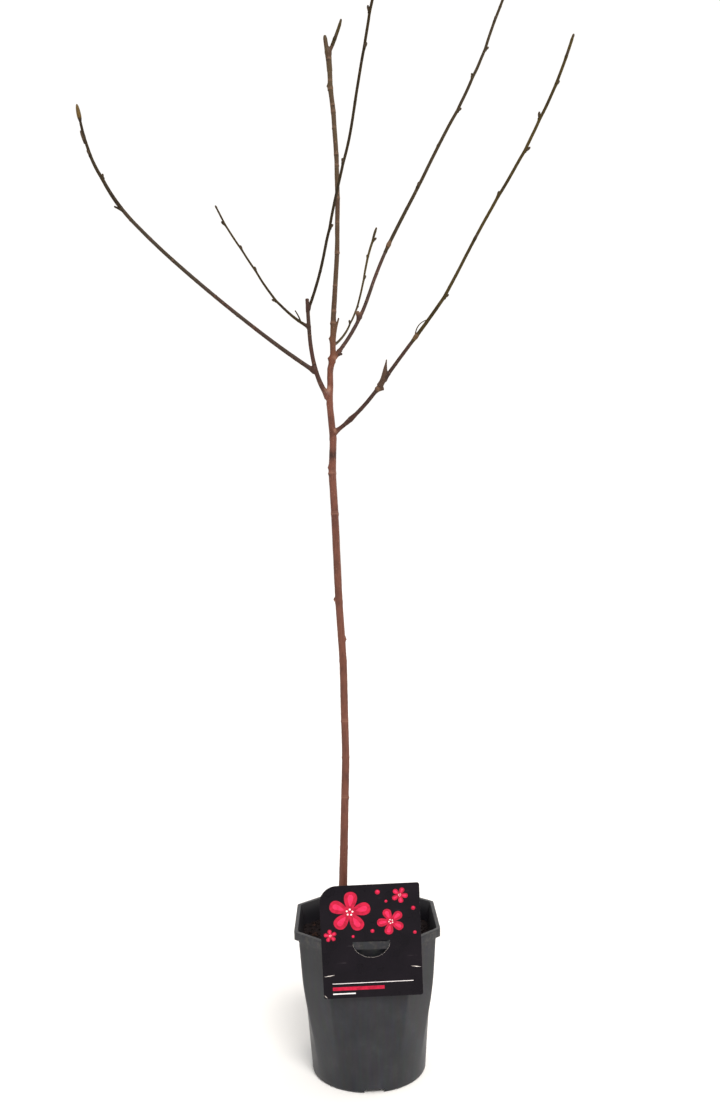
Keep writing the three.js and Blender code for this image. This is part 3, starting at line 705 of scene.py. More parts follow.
LIMBS = {
    "left_bough": dict(
        parent="trunk", at=LEFT_FORK, heading=190, turn=0, length=123, bough_end=123,
        rise=[54, 76, 87, 88], diameters=[6.6, 5.1, 4.6, 4.3],
    ),
    "long_left": dict(
        parent="left_bough", at=36, heading=172, turn=-14, length=448, bough_end=327,
        rise=[34, 38, 40, 42, 46, 61, 79], diameters=[5.2, 4.5, 4.5, 4.4, 2.9],
        stubs=[(318, 185, 30, 14, 2.8)], buds_from=340, tip_bud=(22.5, 5.6), seed=11,
    ),
    "right": dict(
        parent="trunk", at=RIGHT_FORK, heading=-34.6, turn=12, length=495.6, bough_end=153,
        rise=[25, 46, 45, 58, 54, 60, 71], diameters=[5, 4.1, 3.1, 3, 2.8],
        stubs=[(80, -20, 4, 9, 4), (86, -32, 50, 17, 5.6), (94, -34, 79, 24, 3.4), (155, -45, 62, 18, 1.6)],
        buds_from=180, tip_bud=(4, 2.8), seed=5,
    ),
    "middle": dict(
        parent="trunk", at=MIDDLE_FORK, heading=27, turn=12, length=583, bough_end=158,
        rise=[46, 68, 58, 59, 57, 65, 62], diameters=[4.6, 4, 3.6, 3.4, 3],
        stubs=[(13, 60, 10, 6, 3), (64, 200, 70, 9, 4.8)], buds_from=180, tip_bud=(8, 3.2), seed=23,
    ),
    "inner": dict(
        parent="trunk", at=INNER_FORK, heading=74.6, turn=-16, length=250, bough_end=0,
        rise=[17, 40, 67, 57], diameters=[3, 2.2, 2.4, 3.1], buds_from=60, tip_bud=(5, 2.8), seed=31,
    ),
    "left": dict(
        parent="left_bough", at=90, heading=222.2, turn=-14, length=173, bough_end=0,
        rise=[13, 35, 50, 51, 60], diameters=[3.2, 2.2, 1.9],
        stubs=[(13, 200, 64, 15, 1.8)], buds_from=45, tip_bud=(4, 2.4), seed=43,
    ),
    "centre": dict(
        parent="left_bough", at=109, heading=305.9, turn=-16, length=385, bough_end=0,
        rise=[48, 66, 55, 66, 56, 62], diameters=[3.2, 2.9, 2.8, 2.6],
        buds_from=60, tip_bud=(8, 3), seed=57,
    ),
    "leader": dict(
        heading=-8, turn=0, length=36, bough_end=0, rise=[60, 72], diameters=[4.2, 3.6, 3.2],
        buds_from=8, tip_bud=(5, 3), seed=71,
    ),
}
NODE_GAPS = dict(first=20, growth=1.25, widest=66, jitter=0.25)
NODE_TURN, NODE_SCATTER = 144, 40
SWELLING, SWELLING_REACH = 0.07, 2.5
COLLAR_SHARE, COLLAR_LENGTH = 0.45, 5
SLIM_FOOT = 0.3  # of its width, which a limb has in the middle of its parent
STUB_WIDTHS = ([0, 0.3, 1], [1.2, 1, 0.8])


def random_run(seed):
    """The seeded run of numbers from 0 to 1 that deals out nodes and buds."""
    state = seed
    while True:
        state = (state + 0x6D2B79F5) & 0xFFFFFFFF
        mixed = (state ^ (state >> 15)) * (1 | state) & 0xFFFFFFFF
        mixed ^= (mixed + (mixed ^ (mixed >> 7)) * (61 | mixed)) & 0xFFFFFFFF
        yield (mixed ^ (mixed >> 14)) / 4294967296


def evenly(values, share):
    """The value at a share of the way through a list whose entries are spaced evenly."""
    return np.interp(np.asarray(share) * (len(values) - 1), range(len(values)), values)


def heading_vector(heading, rise):
    turned, lifted = math.radians(heading), math.radians(rise)
    level = math.cos(lifted)
    return np.array([level * math.cos(turned), level * math.sin(turned), math.sin(lifted)])


def smooth_curve(points):
    """Samples of a centripetal Catmull-Rom curve through points, and each one's share of
    the curve's length."""
    points = np.array(points)
    ends = [2 * points[0] - points[1], *points, 2 * points[-1] - points[-2]]
    steps = np.linspace(0, 1, 40, endpoint=False)[:, None]
    samples = []
    for a, b, c, d in zip(ends, ends[1:], ends[2:], ends[3:]):
        before, within, after = (math.sqrt(math.dist(*pair)) for pair in ((a, b), (b, c), (c, d)))
        leaving = ((b - a) / before - (c - a) / (before + within) + (c - b) / within) * within
        arriving = ((c - b) / within - (d - b) / (within + after) + (d - c) / after) * within
        second = 3 * (c - b) - 2 * leaving - arriving
        third = 2 * (b - c) + leaving + arriving
        samples.append(b + leaving * steps + second * steps**2 + third * steps**3)
    samples = np.vstack([*samples, points[-1:]])
    travelled = np.cumsum(np.linalg.norm(np.diff(samples, axis=0, prepend=samples[:1]), axis=1))
    return samples, travelled / travelled[-1]


class Limb:
    """A limb's centreline and diameter, by distance from its foot."""

    def __init__(self, points, length, across, diameters, nodes, shape_foot, random=None):
        self.samples, self.shares = smooth_curve(points)
        self.length, self.across, self.diameters = length, across, diameters
        self.nodes, self.shape_foot, self.random = nodes, shape_foot, random

    def place(self, distance):
        share = np.asarray(distance) / self.length
        return np.stack([np.interp(share, self.shares, axis) for axis in self.samples.T], axis=-1)

    def diameter(self, distance):
        width = evenly(self.diameters, distance / self.length)
        for node in self.nodes:
            width = width * (1 + SWELLING * np.exp(-(((distance - node) / SWELLING_REACH) ** 2)))
        return self.shape_foot(distance, width)

    def frame(self, distance):
        """The limb's direction, and two directions across it."""
        middle = np.clip(distance, 0.5, self.length - 0.5)
        step = self.place(middle + 0.5) - self.place(middle - 0.5)
        along = step / np.linalg.norm(step, axis=-1, keepdims=True)
        first = self.across - (along @ self.across)[..., None] * along
        first /= np.linalg.norm(first, axis=-1, keepdims=True)
        return along, first, np.cross(along, first)


def leaf_nodes(length, start, random):
    """Distances along a limb of its leaf nodes, from the tip down, above a start."""
    found = []
    gap = NODE_GAPS["first"]
    distance = length - gap
    while distance > start:
        found.append(distance)
        gap = min(gap * NODE_GAPS["growth"], NODE_GAPS["widest"])
        distance -= gap * (1 + NODE_GAPS["jitter"] * (2 * next(random) - 1))
    return found


def grow_trunk():
    point = np.array([*TRUNK_FOOT, SOIL_LEVEL - FOOT_BELOW])
    points, nodes, length = [point], [], 0
    for stretch, right, back in TRUNK_STRETCHES:
        lean = np.array([math.tan(math.radians(right)), math.tan(math.radians(back)), 1])
        lean *= stretch / np.linalg.norm(lean)
        points += [point + lean / 2, point + lean]
        point = point + lean
        length += stretch
        nodes.append(length)
    return Limb(
        points, length, np.array([1, 0, 0]), TRUNK_DIAMETERS, nodes[:-1],
        lambda distance, width: width + FLARE * np.exp(-distance / FLARE_HEIGHT),
    )


def grow_limb(spec, start, parent_radius):
    """A limb from a point, in short steps that each have the heading and rise of their
    place. It is slim inside its parent, and has a collar where it comes out."""
    steps = 6 * len(spec["rise"])
    points = [start]
    for number in range(steps):
        share = (number + 0.5) / steps
        direction = heading_vector(spec["heading"] + spec["turn"] * share, evenly(spec["rise"], share))
        points.append(points[-1] + direction * spec["length"] / steps)
    random = random_run(spec.get("seed", 1))

    def collared(distance, width):
        past = (distance - parent_radius) / COLLAR_LENGTH
        inside = np.minimum(1, SLIM_FOOT + (1 - SLIM_FOOT) * distance / max(parent_radius, 0.01))
        return width * (1 + COLLAR_SHARE * np.exp(-past * past)) * inside

    middle = math.radians(spec["heading"] + spec["turn"] / 2 - 90)
    return Limb(
        points, spec["length"], np.array([math.cos(middle), math.sin(middle), 0]), spec["diameters"],
        leaf_nodes(spec["length"], spec.get("buds_from", spec["length"]), random),
        collared if parent_radius > 0 else lambda distance, width: width,
        random,
    )


trunk = grow_trunk()
grown = {"trunk": trunk}
for name, spec in LIMBS.items():
    if name == "leader":
        joint = trunk.place(trunk.length) + WALL_GAP * trunk.frame(trunk.length)[0]
        grown[name] = grow_limb(spec, joint, 0)
    else:
        parent = grown[spec["parent"]]
        grown[name] = grow_limb(spec, parent.place(spec["at"]), float(parent.diameter(spec["at"])) / 2)

BONE_STEP = 0.5  # mm between the centres of a bone
TUBE_ROUNDNESS = 6  # a bevel resolution
BARK_VOXEL = 0.75
BLEND = 3.2  # mm over which two limbs' bark runs together
FAR, NEARBY = 1e3, 14  # mm from a bone: out of reach, and near enough to be drawn to it
FITTING_ROUNDS, LONGEST_PULL = 3, 1.2  # times a place is drawn to the limbs, and mm at most each time
END_CAP = 0.35  # mm short of a bone's end, from where its flat end shows
UNDECIDED = 0.2  # pulls that cancel out to less than this are left out
END_RIDGE = (0.1, 1.6, 1.1)  # share of the radius, mm from a bough's end, mm of reach
END_WIDTH, END_TAPER = 0.72, 1.2  # share of the radius left at the end, mm of taper
SUNK_FOOT = 4  # mm of the trunk below the soil's skin
COLLAR_REACH = 12  # mm of a limb with no bough that the old bark still covers
OLD_NODE_GAP, TRUNK_NODE_GAP = (24, 44), (95, 107)
TRUNK_NODE_SPAN = 188, 300  # heights between which the low trunk has nodes off its kinks
BOUGH_NODES_FROM, BOUGH_NODES_STOP = 22, 6  # mm past a bough's foot, and short of its end
OLD_NODE_SIZE, TRUNK_NODE_SIZE = 0.62, 0.6  # of the wood's diameter
NODE_RINGS = (0, 0.16), (0.42, 0.12)  # place and reach, like the next ones in node sizes
UPPER_RING_SHARE = 0.6
NODE_SHELF, NODE_FACE = (0.18, 0.3, 0.75), (0.5, 0.28, 0.6)  # below the ring, reach, radians aside
RING_HEIGHT, SHELF_HEIGHT, FACE_DEPTH, FACE_DARKNESS = 0.022, 0.15, 0.02, 0.8
PLAIN_KINKS = 4  # the lowest kinks, where the growing bark has smoothed the rings away
CLEAR_OF_FORK = 13
RING_PALENESS = 0.38
AGES = ([183, 650, 915, 970, 1270], [0.02, 0.3, 0.45, 0.75, 0.98])  # by height, on the ramp
YOUNG_PAST, YOUNG_REACH = 4, 9  # mm along a bough, to where its own colour sets in
YOUNG_LENGTH = 330
STUB_AGE = 80  # mm along a bough, whose colour a stub has from its foot on
SECOND_ORDER_AHEAD = 0.3  # on the ramp, for limbs that grow from a bough
WEB_PALENESS = 0.22  # of the dried web where the right bough was pruned
PALE_SCARS_AND_HIGHLIGHTS = [  # limb, distance, reach, shift to the right: pale spots on ridges in forks, which are painted highlights, and on knuckles of old cuts and a nub, which are scar tissue with a painted highlight
    ("right", 7, 2.2, -1), ("left_bough", 14, 3.2, 4.5), ("middle", 2, 2.5, 0), ("right", 82, 2.8, 1),
    ("right", 156.5, 3, 0), ("middle", 72, 3.6, -5.5), ("middle", 167, 3.3, 0), ("trunk", 442, 1.8, -5),
]
DARK_BAND = (804, 6, 0.75)  # height, reach and strength of a stain round the trunk
BAND_WANDER = 15  # how far its edge follows the lumps up and down
SCAR_SWELLING = 0.24
FORK_RIDGES_TO = 20  # mm along a limb, below which a pale scar is flat, a painted highlight only
FLUTING_HEIGHT, FLUTING_FADE, LUMP_HEIGHT, WRINKLE_HEIGHT = 0.35, 90, 0.16, 0.08
BARK_FULLNESS = 0.18
RELIEF_SHARE, BOUGH_ROUGHNESS = 0.9, 0.6
POINTED = ([0, 0.3, 0.6, 0.78, 1], [1.9, 1.8, 1.2, 0.65, 0.35])  # a dead shoot's widths
# Further stubs as at, heading, rise, length and diameter, and their widths.
HIDDEN_NUB, TRUNK_NUB = (7, -12, 5, 8, 3), (442, 182, 20, 6.8, 3.2)
SPINDLE, SPINDLE_WIDTHS = (25, -34, 34, 12, 5.2), ([0, 0.5, 1], [0.5, 1, 0.5])
CUT_LEADER, CUT_WIDTHS = (1069, 180, 82.5, 38, 5.2), ([0, 0.5, 0.9, 1], [0.6, 1, 0.9, 0.55])


class Bone:
    """A stretch of wood: centres along a line, with a radius, a direction and two ways
    across for each, and the leaf nodes on it as distance, angle and size."""

    def __init__(self, places, radii, first, nodes=(), start=0.0):
        self.places, self.radii = places, radii
        self.along = np.gradient(places, axis=0)
        self.along /= np.linalg.norm(self.along, axis=1, keepdims=True)
        self.first = first - (self.along @ first)[:, None] * self.along
        self.first /= np.linalg.norm(self.first, axis=1, keepdims=True)
        self.second = np.cross(self.along, self.first)
        steps = np.linalg.norm(np.diff(places, axis=0, prepend=places[:1]), axis=1)
        self.distances = start + np.cumsum(steps)
        self.nodes = list(nodes)

    def nearest(self, points):
        """Each point's distance along the bone, angle round it, height over its bark, and
        the direction away from its centre."""
        tree = kdtree.KDTree(len(self.places))
        for number, place in enumerate(self.places):
            tree.insert(place, number)
        tree.balance()
        index = np.array([tree.find(point)[1] for point in points])
        offset = points - self.places[index]
        ahead = np.sum(offset * self.along[index], axis=1)
        radial = offset - ahead[:, None] * self.along[index]
        reach = np.maximum(np.linalg.norm(radial, axis=1), 1e-6)
        angle = np.arctan2(
            np.sum(radial * self.second[index], axis=1), np.sum(radial * self.first[index], axis=1)
        )
        distance = self.distances[index] + ahead
        over = reach - np.interp(distance, self.distances, self.radii)
        return distance, angle, over, radial / reach[:, None]


def limb_bone(limb, end, nodes=(), round_end=True):
    """The bone of a limb from its foot to a distance. Its end closes with a low ridge."""
    distances = np.arange(0, end + BONE_STEP / 2, BONE_STEP)
    radii = limb.diameter(distances) / 2
    if round_end:
        left = end - distances
        height, place, reach = END_RIDGE
        ridge = 1 + height * np.exp(-(((left - place) / reach) ** 2))
        radii = radii * ridge * np.minimum(1, END_WIDTH + left * (1 - END_WIDTH) / END_TAPER)
    return Bone(limb.place(distances), radii, limb.across, nodes)


def stub_bone(limb, stub, bend=0.0, widths=STUB_WIDTHS):
    """The bone of a short straight shoot that leaves a limb, or a bent one."""
    at, heading, rise, length, diameter = stub
    share = np.linspace(0, 1, max(int(length / BONE_STEP), 8))
    out = heading_vector(heading, rise)
    side = heading_vector(heading + 90, 0)
    places = limb.place(at) + out * (share * length)[:, None] + side * (bend * np.sin(share * 4))[:, None]
    return Bone(places, np.interp(share, *widths) * diameter / 2, side)


def tubes_of(name, bones):
    """All bones as tubes of one mesh."""
    return curve_mesh(
        name, [bone.places for bone in bones], [bone.radii for bone in bones], dimensions="3D",
        bevel_depth=MM, bevel_resolution=TUBE_ROUNDNESS, use_fill_caps=True, twist_mode="MINIMUM",
    )


def places_of(piece):
    """A piece's vertices in millimetres."""
    flat = np.empty(3 * len(piece.data.vertices))
    piece.data.vertices.foreach_get("co", flat)
    return flat.reshape(-1, 3) / MM


def move_vertices(piece, points):
    piece.data.vertices.foreach_set("co", (points * MM).ravel())
    piece.data.update()


def noise_at(points, size, seed=0.0):
    """Smooth noise from -1 to 1 whose lumps have this size."""
    return np.array([noise.noise(Vector(point / size) + Vector((seed, 0, 0))) for point in points])


def node_relief(bone, distance, angle):
    """How high the old leaf nodes raise the bark, and how much of it is scar and ring."""
    raised, scar, rings = np.zeros((3, len(distance)))
    for at, turn, size in bone.nodes:
        past = (distance - at) / size
        aside = np.angle(np.exp(1j * (angle - turn)))
        ring, upper_ring = (np.exp(-(((past - place) / reach) ** 2)) for place, reach in NODE_RINGS)
        ring = ring + UPPER_RING_SHARE * upper_ring
        shelf, face = (
            np.exp(-(((past + below) / reach) ** 2) - (aside / spread) ** 2)
            for below, reach, spread in (NODE_SHELF, NODE_FACE)
        )
        raised += size * (RING_HEIGHT * ring + SHELF_HEIGHT * shelf - FACE_DEPTH * face)
        scar = np.maximum(scar, FACE_DARKNESS * face)
        rings = np.maximum(rings, ring)
    return raised, np.clip(scar, 0, 1), rings


def raise_scars_paint_highlights(points, raised, pale):
    """Raises the bark at old cut scars, and paints it paler there: scar tissue and painted highlight."""
    for name, at, reach, right in PALE_SCARS_AND_HIGHLIGHTS:
        off = np.linalg.norm(points - grown[name].place(at) - (right, 0, 0), axis=1) / reach
        raised += SCAR_SWELLING * reach * np.exp(-off * off) * (at > FORK_RIDGES_TO)
        np.maximum(pale, np.exp(-np.maximum(off - 1, 0) ** 2 * 4), out=pale)


def old_nodes(limb, start, end, random, gaps=OLD_NODE_GAP):
    """Leaf nodes of earlier years, at a turn to each other."""
    found, at, number = [], start, 0
    while at < end:
        turn = math.radians(number * NODE_TURN + NODE_SCATTER * next(random))
        found.append((at, turn, float(limb.diameter(at)) * OLD_NODE_SIZE))
        at += gaps[0] + (gaps[1] - gaps[0]) * next(random)
        number += 1
    return found


bark_random = random_run(101)
trunk_nodes = []
for number, at in enumerate(trunk.nodes):
    turn = math.radians(180 + number * NODE_TURN + NODE_SCATTER * next(bark_random))
    past_forks = min(abs(at - fork) for fork in (RIGHT_FORK, LEFT_FORK, MIDDLE_FORK))
    if number >= PLAIN_KINKS and past_forks > CLEAR_OF_FORK:
        trunk_nodes.append((at, turn, float(trunk.diameter(at)) * TRUNK_NODE_SIZE))
trunk_nodes += old_nodes(trunk, *TRUNK_NODE_SPAN, bark_random, TRUNK_NODE_GAP)
trunk_nodes += old_nodes(trunk, INNER_FORK + 40, trunk.length, bark_random)
trunk_bone = limb_bone(trunk, trunk.length, trunk_nodes, False)
trunk_bone.places[0] -= trunk_bone.along[0] * SUNK_FOOT
trunk_bone.distances[0] = -SUNK_FOOT
bones = [trunk_bone]
for name, spec in LIMBS.items():
    limb = grown[name]
    if spec["bough_end"]:
        nodes = old_nodes(limb, BOUGH_NODES_FROM, spec["bough_end"] - BOUGH_NODES_STOP, bark_random)
        bones.append(limb_bone(limb, spec["bough_end"], nodes, name != "left_bough"))
    else:
        bones.append(limb_bone(limb, COLLAR_REACH))
web_widths = (STUB_WIDTHS, STUB_WIDTHS, POINTED)
FUSED_STUBS = [  # limb, stub, widths, paleness
    *(("trunk", stub, STUB_WIDTHS, 0) for stub in TRUNK_STUBS),
    *(("right", stub, widths, WEB_PALENESS) for stub, widths in zip(LIMBS["right"]["stubs"], web_widths)),
    *(("middle", stub, STUB_WIDTHS, 0) for stub in LIMBS["middle"]["stubs"]),
    ("middle", HIDDEN_NUB, STUB_WIDTHS, 0),
    ("right", SPINDLE, SPINDLE_WIDTHS, 0),
    ("trunk", CUT_LEADER, CUT_WIDTHS, 0),
    ("trunk", TRUNK_NUB, STUB_WIDTHS, 0),
]
bones += [stub_bone(grown[name], stub, widths=widths) for name, stub, widths, _ in FUSED_STUBS]

bark = tubes_of("bark", bones)
apply_modifier(bark, "REMESH", mode="VOXEL", voxel_size=BARK_VOXEL * MM, adaptivity=0)
points = places_of(bark)

# The remeshed wood is drawn onto the true round limbs, which run together at the forks.
near = []
for bone in bones:
    low, high = bone.places.min(axis=0) - NEARBY, bone.places.max(axis=0) + NEARBY
    near.append(np.flatnonzero(np.all((points > low) & (points < high), axis=1)))
for _ in range(FITTING_ROUNDS):
    height, least = np.full((2, len(points)), FAR)
    away = np.zeros_like(points)
    owner = np.zeros(len(points), dtype=int)
    owner_distance, owner_angle = np.zeros((2, len(points)))
    for number, (bone, chosen) in enumerate(zip(bones, near)):
        distance, angle, over, direction = bone.nearest(points[chosen])
        past_end = np.maximum(distance - bone.distances[-1], bone.distances[0] - distance)
        over = np.maximum(over, past_end)
        mine = over < least[chosen]
        least[chosen[mine]] = over[mine]
        owner[chosen[mine]] = number
        owner_distance[chosen[mine]] = distance[mine]
        owner_angle[chosen[mine]] = angle[mine]
        direction = np.where((past_end > -END_CAP)[:, None], 0, direction)
        before = height[chosen]
        share = np.clip(1 - np.abs(over - before) / BLEND, 0, 1) / 2
        weight = np.where(over < before, 1 - share, share)
        height[chosen] = np.minimum(over, before) - share * share * BLEND
        away[chosen] = direction * weight[:, None] + away[chosen] * (1 - weight)[:, None]
    size = np.linalg.norm(away, axis=1)
    normal = away / np.maximum(size, 1e-6)[:, None]
    pull = np.where(size > UNDECIDED, np.clip(height, -LONGEST_PULL, LONGEST_PULL), 0)
    points = points - normal * pull[:, None]

raised, scar, rings = np.zeros((3, len(points)))
for number, bone in enumerate(bones):
    mine = owner == number
    raised[mine], scar[mine], rings[mine] = node_relief(bone, owner_distance[mine], owner_angle[mine])
# Flutes run up from the foot, with long lumps and fine cross wrinkles over them.
from_foot = np.exp(-np.maximum(points[:, 2] - SOIL_LEVEL, 0) / FLUTING_FADE)
fluting = noise_at(points * (1, 1, 0.12), 2.2) * FLUTING_HEIGHT * from_foot
lumps = noise_at(points * (1, 1, 0.45), 5.5, 3) * LUMP_HEIGHT
wrinkles = noise_at(points * (0.25, 0.25, 1), 1.5, 8) * WRINKLE_HEIGHT
pale = RING_PALENESS * rings
raise_scars_paint_highlights(points, raised, pale)
roughness = np.where(owner == 0, 1, BOUGH_ROUGHNESS)
raised = raised * RELIEF_SHARE + (fluting + lumps + wrinkles + BARK_FULLNESS) * roughness
points = points + normal * raised[:, None]
move_vertices(bark, points)
band_height, band_reach, band_strength = DARK_BAND
from_band = (points[:, 2] - band_height + BAND_WANDER * lumps) / band_reach
scar = np.maximum(scar, band_strength * np.exp(-from_band * from_band))
set_attribute(bark, "scar", scar)
set_attribute(bark, "age", np.interp(points[:, 2], *AGES))
young, along = np.zeros(len(points)), np.zeros(len(points))
own_wood = [("trunk", 0, 0), *((name, 0, 0) for name in LIMBS)]
own_wood += [(name, STUB_AGE, paleness) for name, _, _, paleness in FUSED_STUBS]
for number, (name, older, paleness) in enumerate(own_wood):
    if name in ("trunk", "leader"):
        continue
    mine = owner == number
    from_fork = owner_distance[mine] + older
    second_order = LIMBS[name]["parent"] != "trunk"
    young[mine] = 1 if second_order else 1 - np.exp(-np.maximum(from_fork - YOUNG_PAST, 0) / YOUNG_REACH)
    along[mine] = from_fork / YOUNG_LENGTH + SECOND_ORDER_AHEAD * second_order
    pale[mine] = np.maximum(pale[mine], paleness)
set_attribute(bark, "young", young)
set_attribute(bark, "along", np.clip(along, 0, 1))
set_attribute(bark, "pale", pale)
bpy.ops.object.shade_smooth()

PATCHES, STAINS, STREAKS, LENTICELS = 16.13, 20.83, 1.613, 4.167  # mm across, or apart


def bark_material(name, ramp, young_ramp, scar_colour, streak, dot, scar_and_highlight_colours, gloss_level):
    """Thin bark: a ramp of tones up the trunk and one along the boughs, darker stains and
    streaks, darker leaf scars, pale old cuts and lenticels, and painted highlights in forks."""
    material, shader = new_material(name, Specular_IOR_Level=gloss_level)
    spot = add_node(material, "TexCoord", give="Object")
    age, young, along, scar, pale = (
        add_node(material, "Attribute", give="Fac", attribute_name=kind)
        for kind in ("age", "young", "along", "scar", "pale")
    )
    patches = add_node(material, "TexNoise", Vector=spot, Scale=1000 / PATCHES, Detail=4)
    spread = add_node(
        material, "Math", operation="MULTIPLY_ADD", Value=patches, Value_001=0.2, Value_002=-0.1
    )
    tone, young_tone = (
        add_node(
            material, "ValToRGB", stops=stops,
            Fac=add_node(material, "Math", operation="ADD", Value=share, Value_001=spread),
        )
        for share, stops in ((age, ramp), (along, young_ramp))
    )
    long_cells = add_node(material, "Mapping", Vector=spot, Scale=(1, 1, 0.6))
    stains = add_node(material, "TexNoise", Vector=long_cells, Scale=1000 / STAINS, Detail=5)
    stained = add_node(material, "MapRange", Value=stains, From_Min=0.5, From_Max=0.68, To_Max=0.6)
    drawn_out = add_node(material, "Mapping", Vector=spot, Scale=(1, 1, 0.14))
    streaks = add_node(material, "TexNoise", Vector=drawn_out, Scale=1000 / STREAKS, Detail=3)
    streaked = add_node(material, "MapRange", Value=streaks, From_Min=0.5, From_Max=0.7, To_Max=0.55)
    # Pale old cuts, and painted highlights on the knuckles and in the forks.
    scar_and_highlight = add_node(material, "Math", operation="MULTIPLY", Value=pale, Value_001=patches)
    old_scar_and_highlight, young_scar_and_highlight = scar_and_highlight_colours
    scar_and_highlight_tone = add_node(
        material, "Mix", data_type="RGBA", Factor_Float=young, A_Color=old_scar_and_highlight, B_Color=young_scar_and_highlight
    )
    cells = add_node(material, "TexVoronoi", Vector=long_cells, Scale=1000 / LENTICELS)
    dotted = add_node(material, "MapRange", Value=cells, From_Min=0.17, From_Max=0.1, To_Max=0.5)
    for share, colour in (
        (young, young_tone), (stained, streak), (streaked, streak), (scar, scar_colour),
        (scar_and_highlight, scar_and_highlight_tone), (dotted, dot),
    ):
        tone = add_node(material, "Mix", data_type="RGBA", Factor_Float=share, A_Color=tone, B_Color=colour)
    gloss = add_node(
        material, "MapRange", Value=patches, From_Min=0.35, From_Max=0.65, To_Min=0.48, To_Max=0.66
    )
    grain = add_node(material, "Bump", Height=streaks, Strength=0.35, Distance=0.12 * MM)
    set_inputs(material, shader, Base_Color=tone, Roughness=gloss, Normal=grain)
    return material


bark.data.materials.append(bark_material(
    "thin_bark",
    [
        (0.02, "#653e32"), (0.3, "#663e31"), (0.38, "#673e31"), (0.42, "#6a4032"),
        (0.46, "#643929"), (0.6, "#593b29"), (0.75, "#473524"), (0.98, "#463823"),
    ],
    [(0, "#38231c"), (0.2, "#33221c"), (0.42, "#35281e"), (0.7, "#342a21"), (1, "#302819")],
    "#241813", "#42261d", "#84604f", ("#b98d78", "#82634a"), 0.22,
))
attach(bark, "root")
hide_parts("trunk", "left_bough", "long_left_bough", "right_bough", "middle_bough")


# ------------------------------------------------------------------------- twigs and buds
# The young wood beyond the boughs: whips a pencil lead to a match thick, bent a hair at
# each leaf node, with short blunt buds pressed forward. The tall left whip ends in a silky
# flower bud, and the right one bears a dry shoot that has curled over.
KINK, KINK_REACH = 0.95, 9
SWAY, SWAY_LENGTH, SWAY_SETS_IN = 0.5, 34, 30  # mm to the side, of a bend, past the foot
WHIP_STEP = 0.7
TIP_TAPER, TIP_WIDTH = 3, 0.75  # mm, and the share of the width left at the tip
WHIP_NODES_FROM, WHIP_NODES_STOP = 8, 14  # mm past a whip's foot, and short of its first bud
GRAIN_HEIGHT, TWIG_LUMP_HEIGHT = 0.05, 0.07
WHIP_RELIEF, SHOOT_ROUGHNESS = 1.5, 0.6
WHIP_DARKNESS = 0.3  # of its rings, and of its side shoots
WHIP_SKIN = 0.12  # mm from a whip's surface; what lies further off is a side shoot
OVERLAP = 3  # mm of a whip hidden in the bough it grows from
CLEAR_FOOT = 6  # mm of a whip's foot without buds
YOUNG_NODE_SIZE, BUD_OUT = 0.9, 0.15  # of the whip's diameter
BUD_LENGTHS, BUD_DIAMETERS = (3.6, 5), (2.6, 3)
BUD_LEAN = 30
BUD_SUNK = 1.5
SCALE_WAVE, SCALE_HEIGHT, SCALE_REACH = 0.1, 0.06, 0.07  # of a bud scale's raised edge
HUSK = 0.24  # of a bud's length, dark with the leathery scales at its foot
DRY_SHOOT_START, DRY_SHOOT_CURL, DRY_SHOOT_WIDTH = (0.5, -3, 31.5), (14, 0, -12), 1.3
SHOOT_BEND = 1.2
WHIP_FULLNESS = 1.14  # for the bark's ridges and the nap of its down
TWIG_TONES = dict(long_left=0, right=0.75, middle=0.25, inner=0.75, left=0.45, centre=0.1, leader=0.55)
TIP_TONE = 0.2  # on the ramp, from a whip's foot to its tip
PRESSED_BUD = (419, -1.9, 17, 3.2)  # distance, shift to the right, length, diameter
side_buds, tip_buds, silky_bud = [], [], None


def bud_matrix(start, along, length, diameter, turn=0.0):
    """Stands a bud of unit size on a place, along a direction."""
    aimed = Vector(along).to_track_quat("Z", "Y").to_matrix().to_4x4()
    size = Matrix.Diagonal((diameter, diameter, length, 1))
    return Matrix.Translation(Vector(start) * MM) @ aimed @ Matrix.Rotation(turn, 4, "Z") @ size


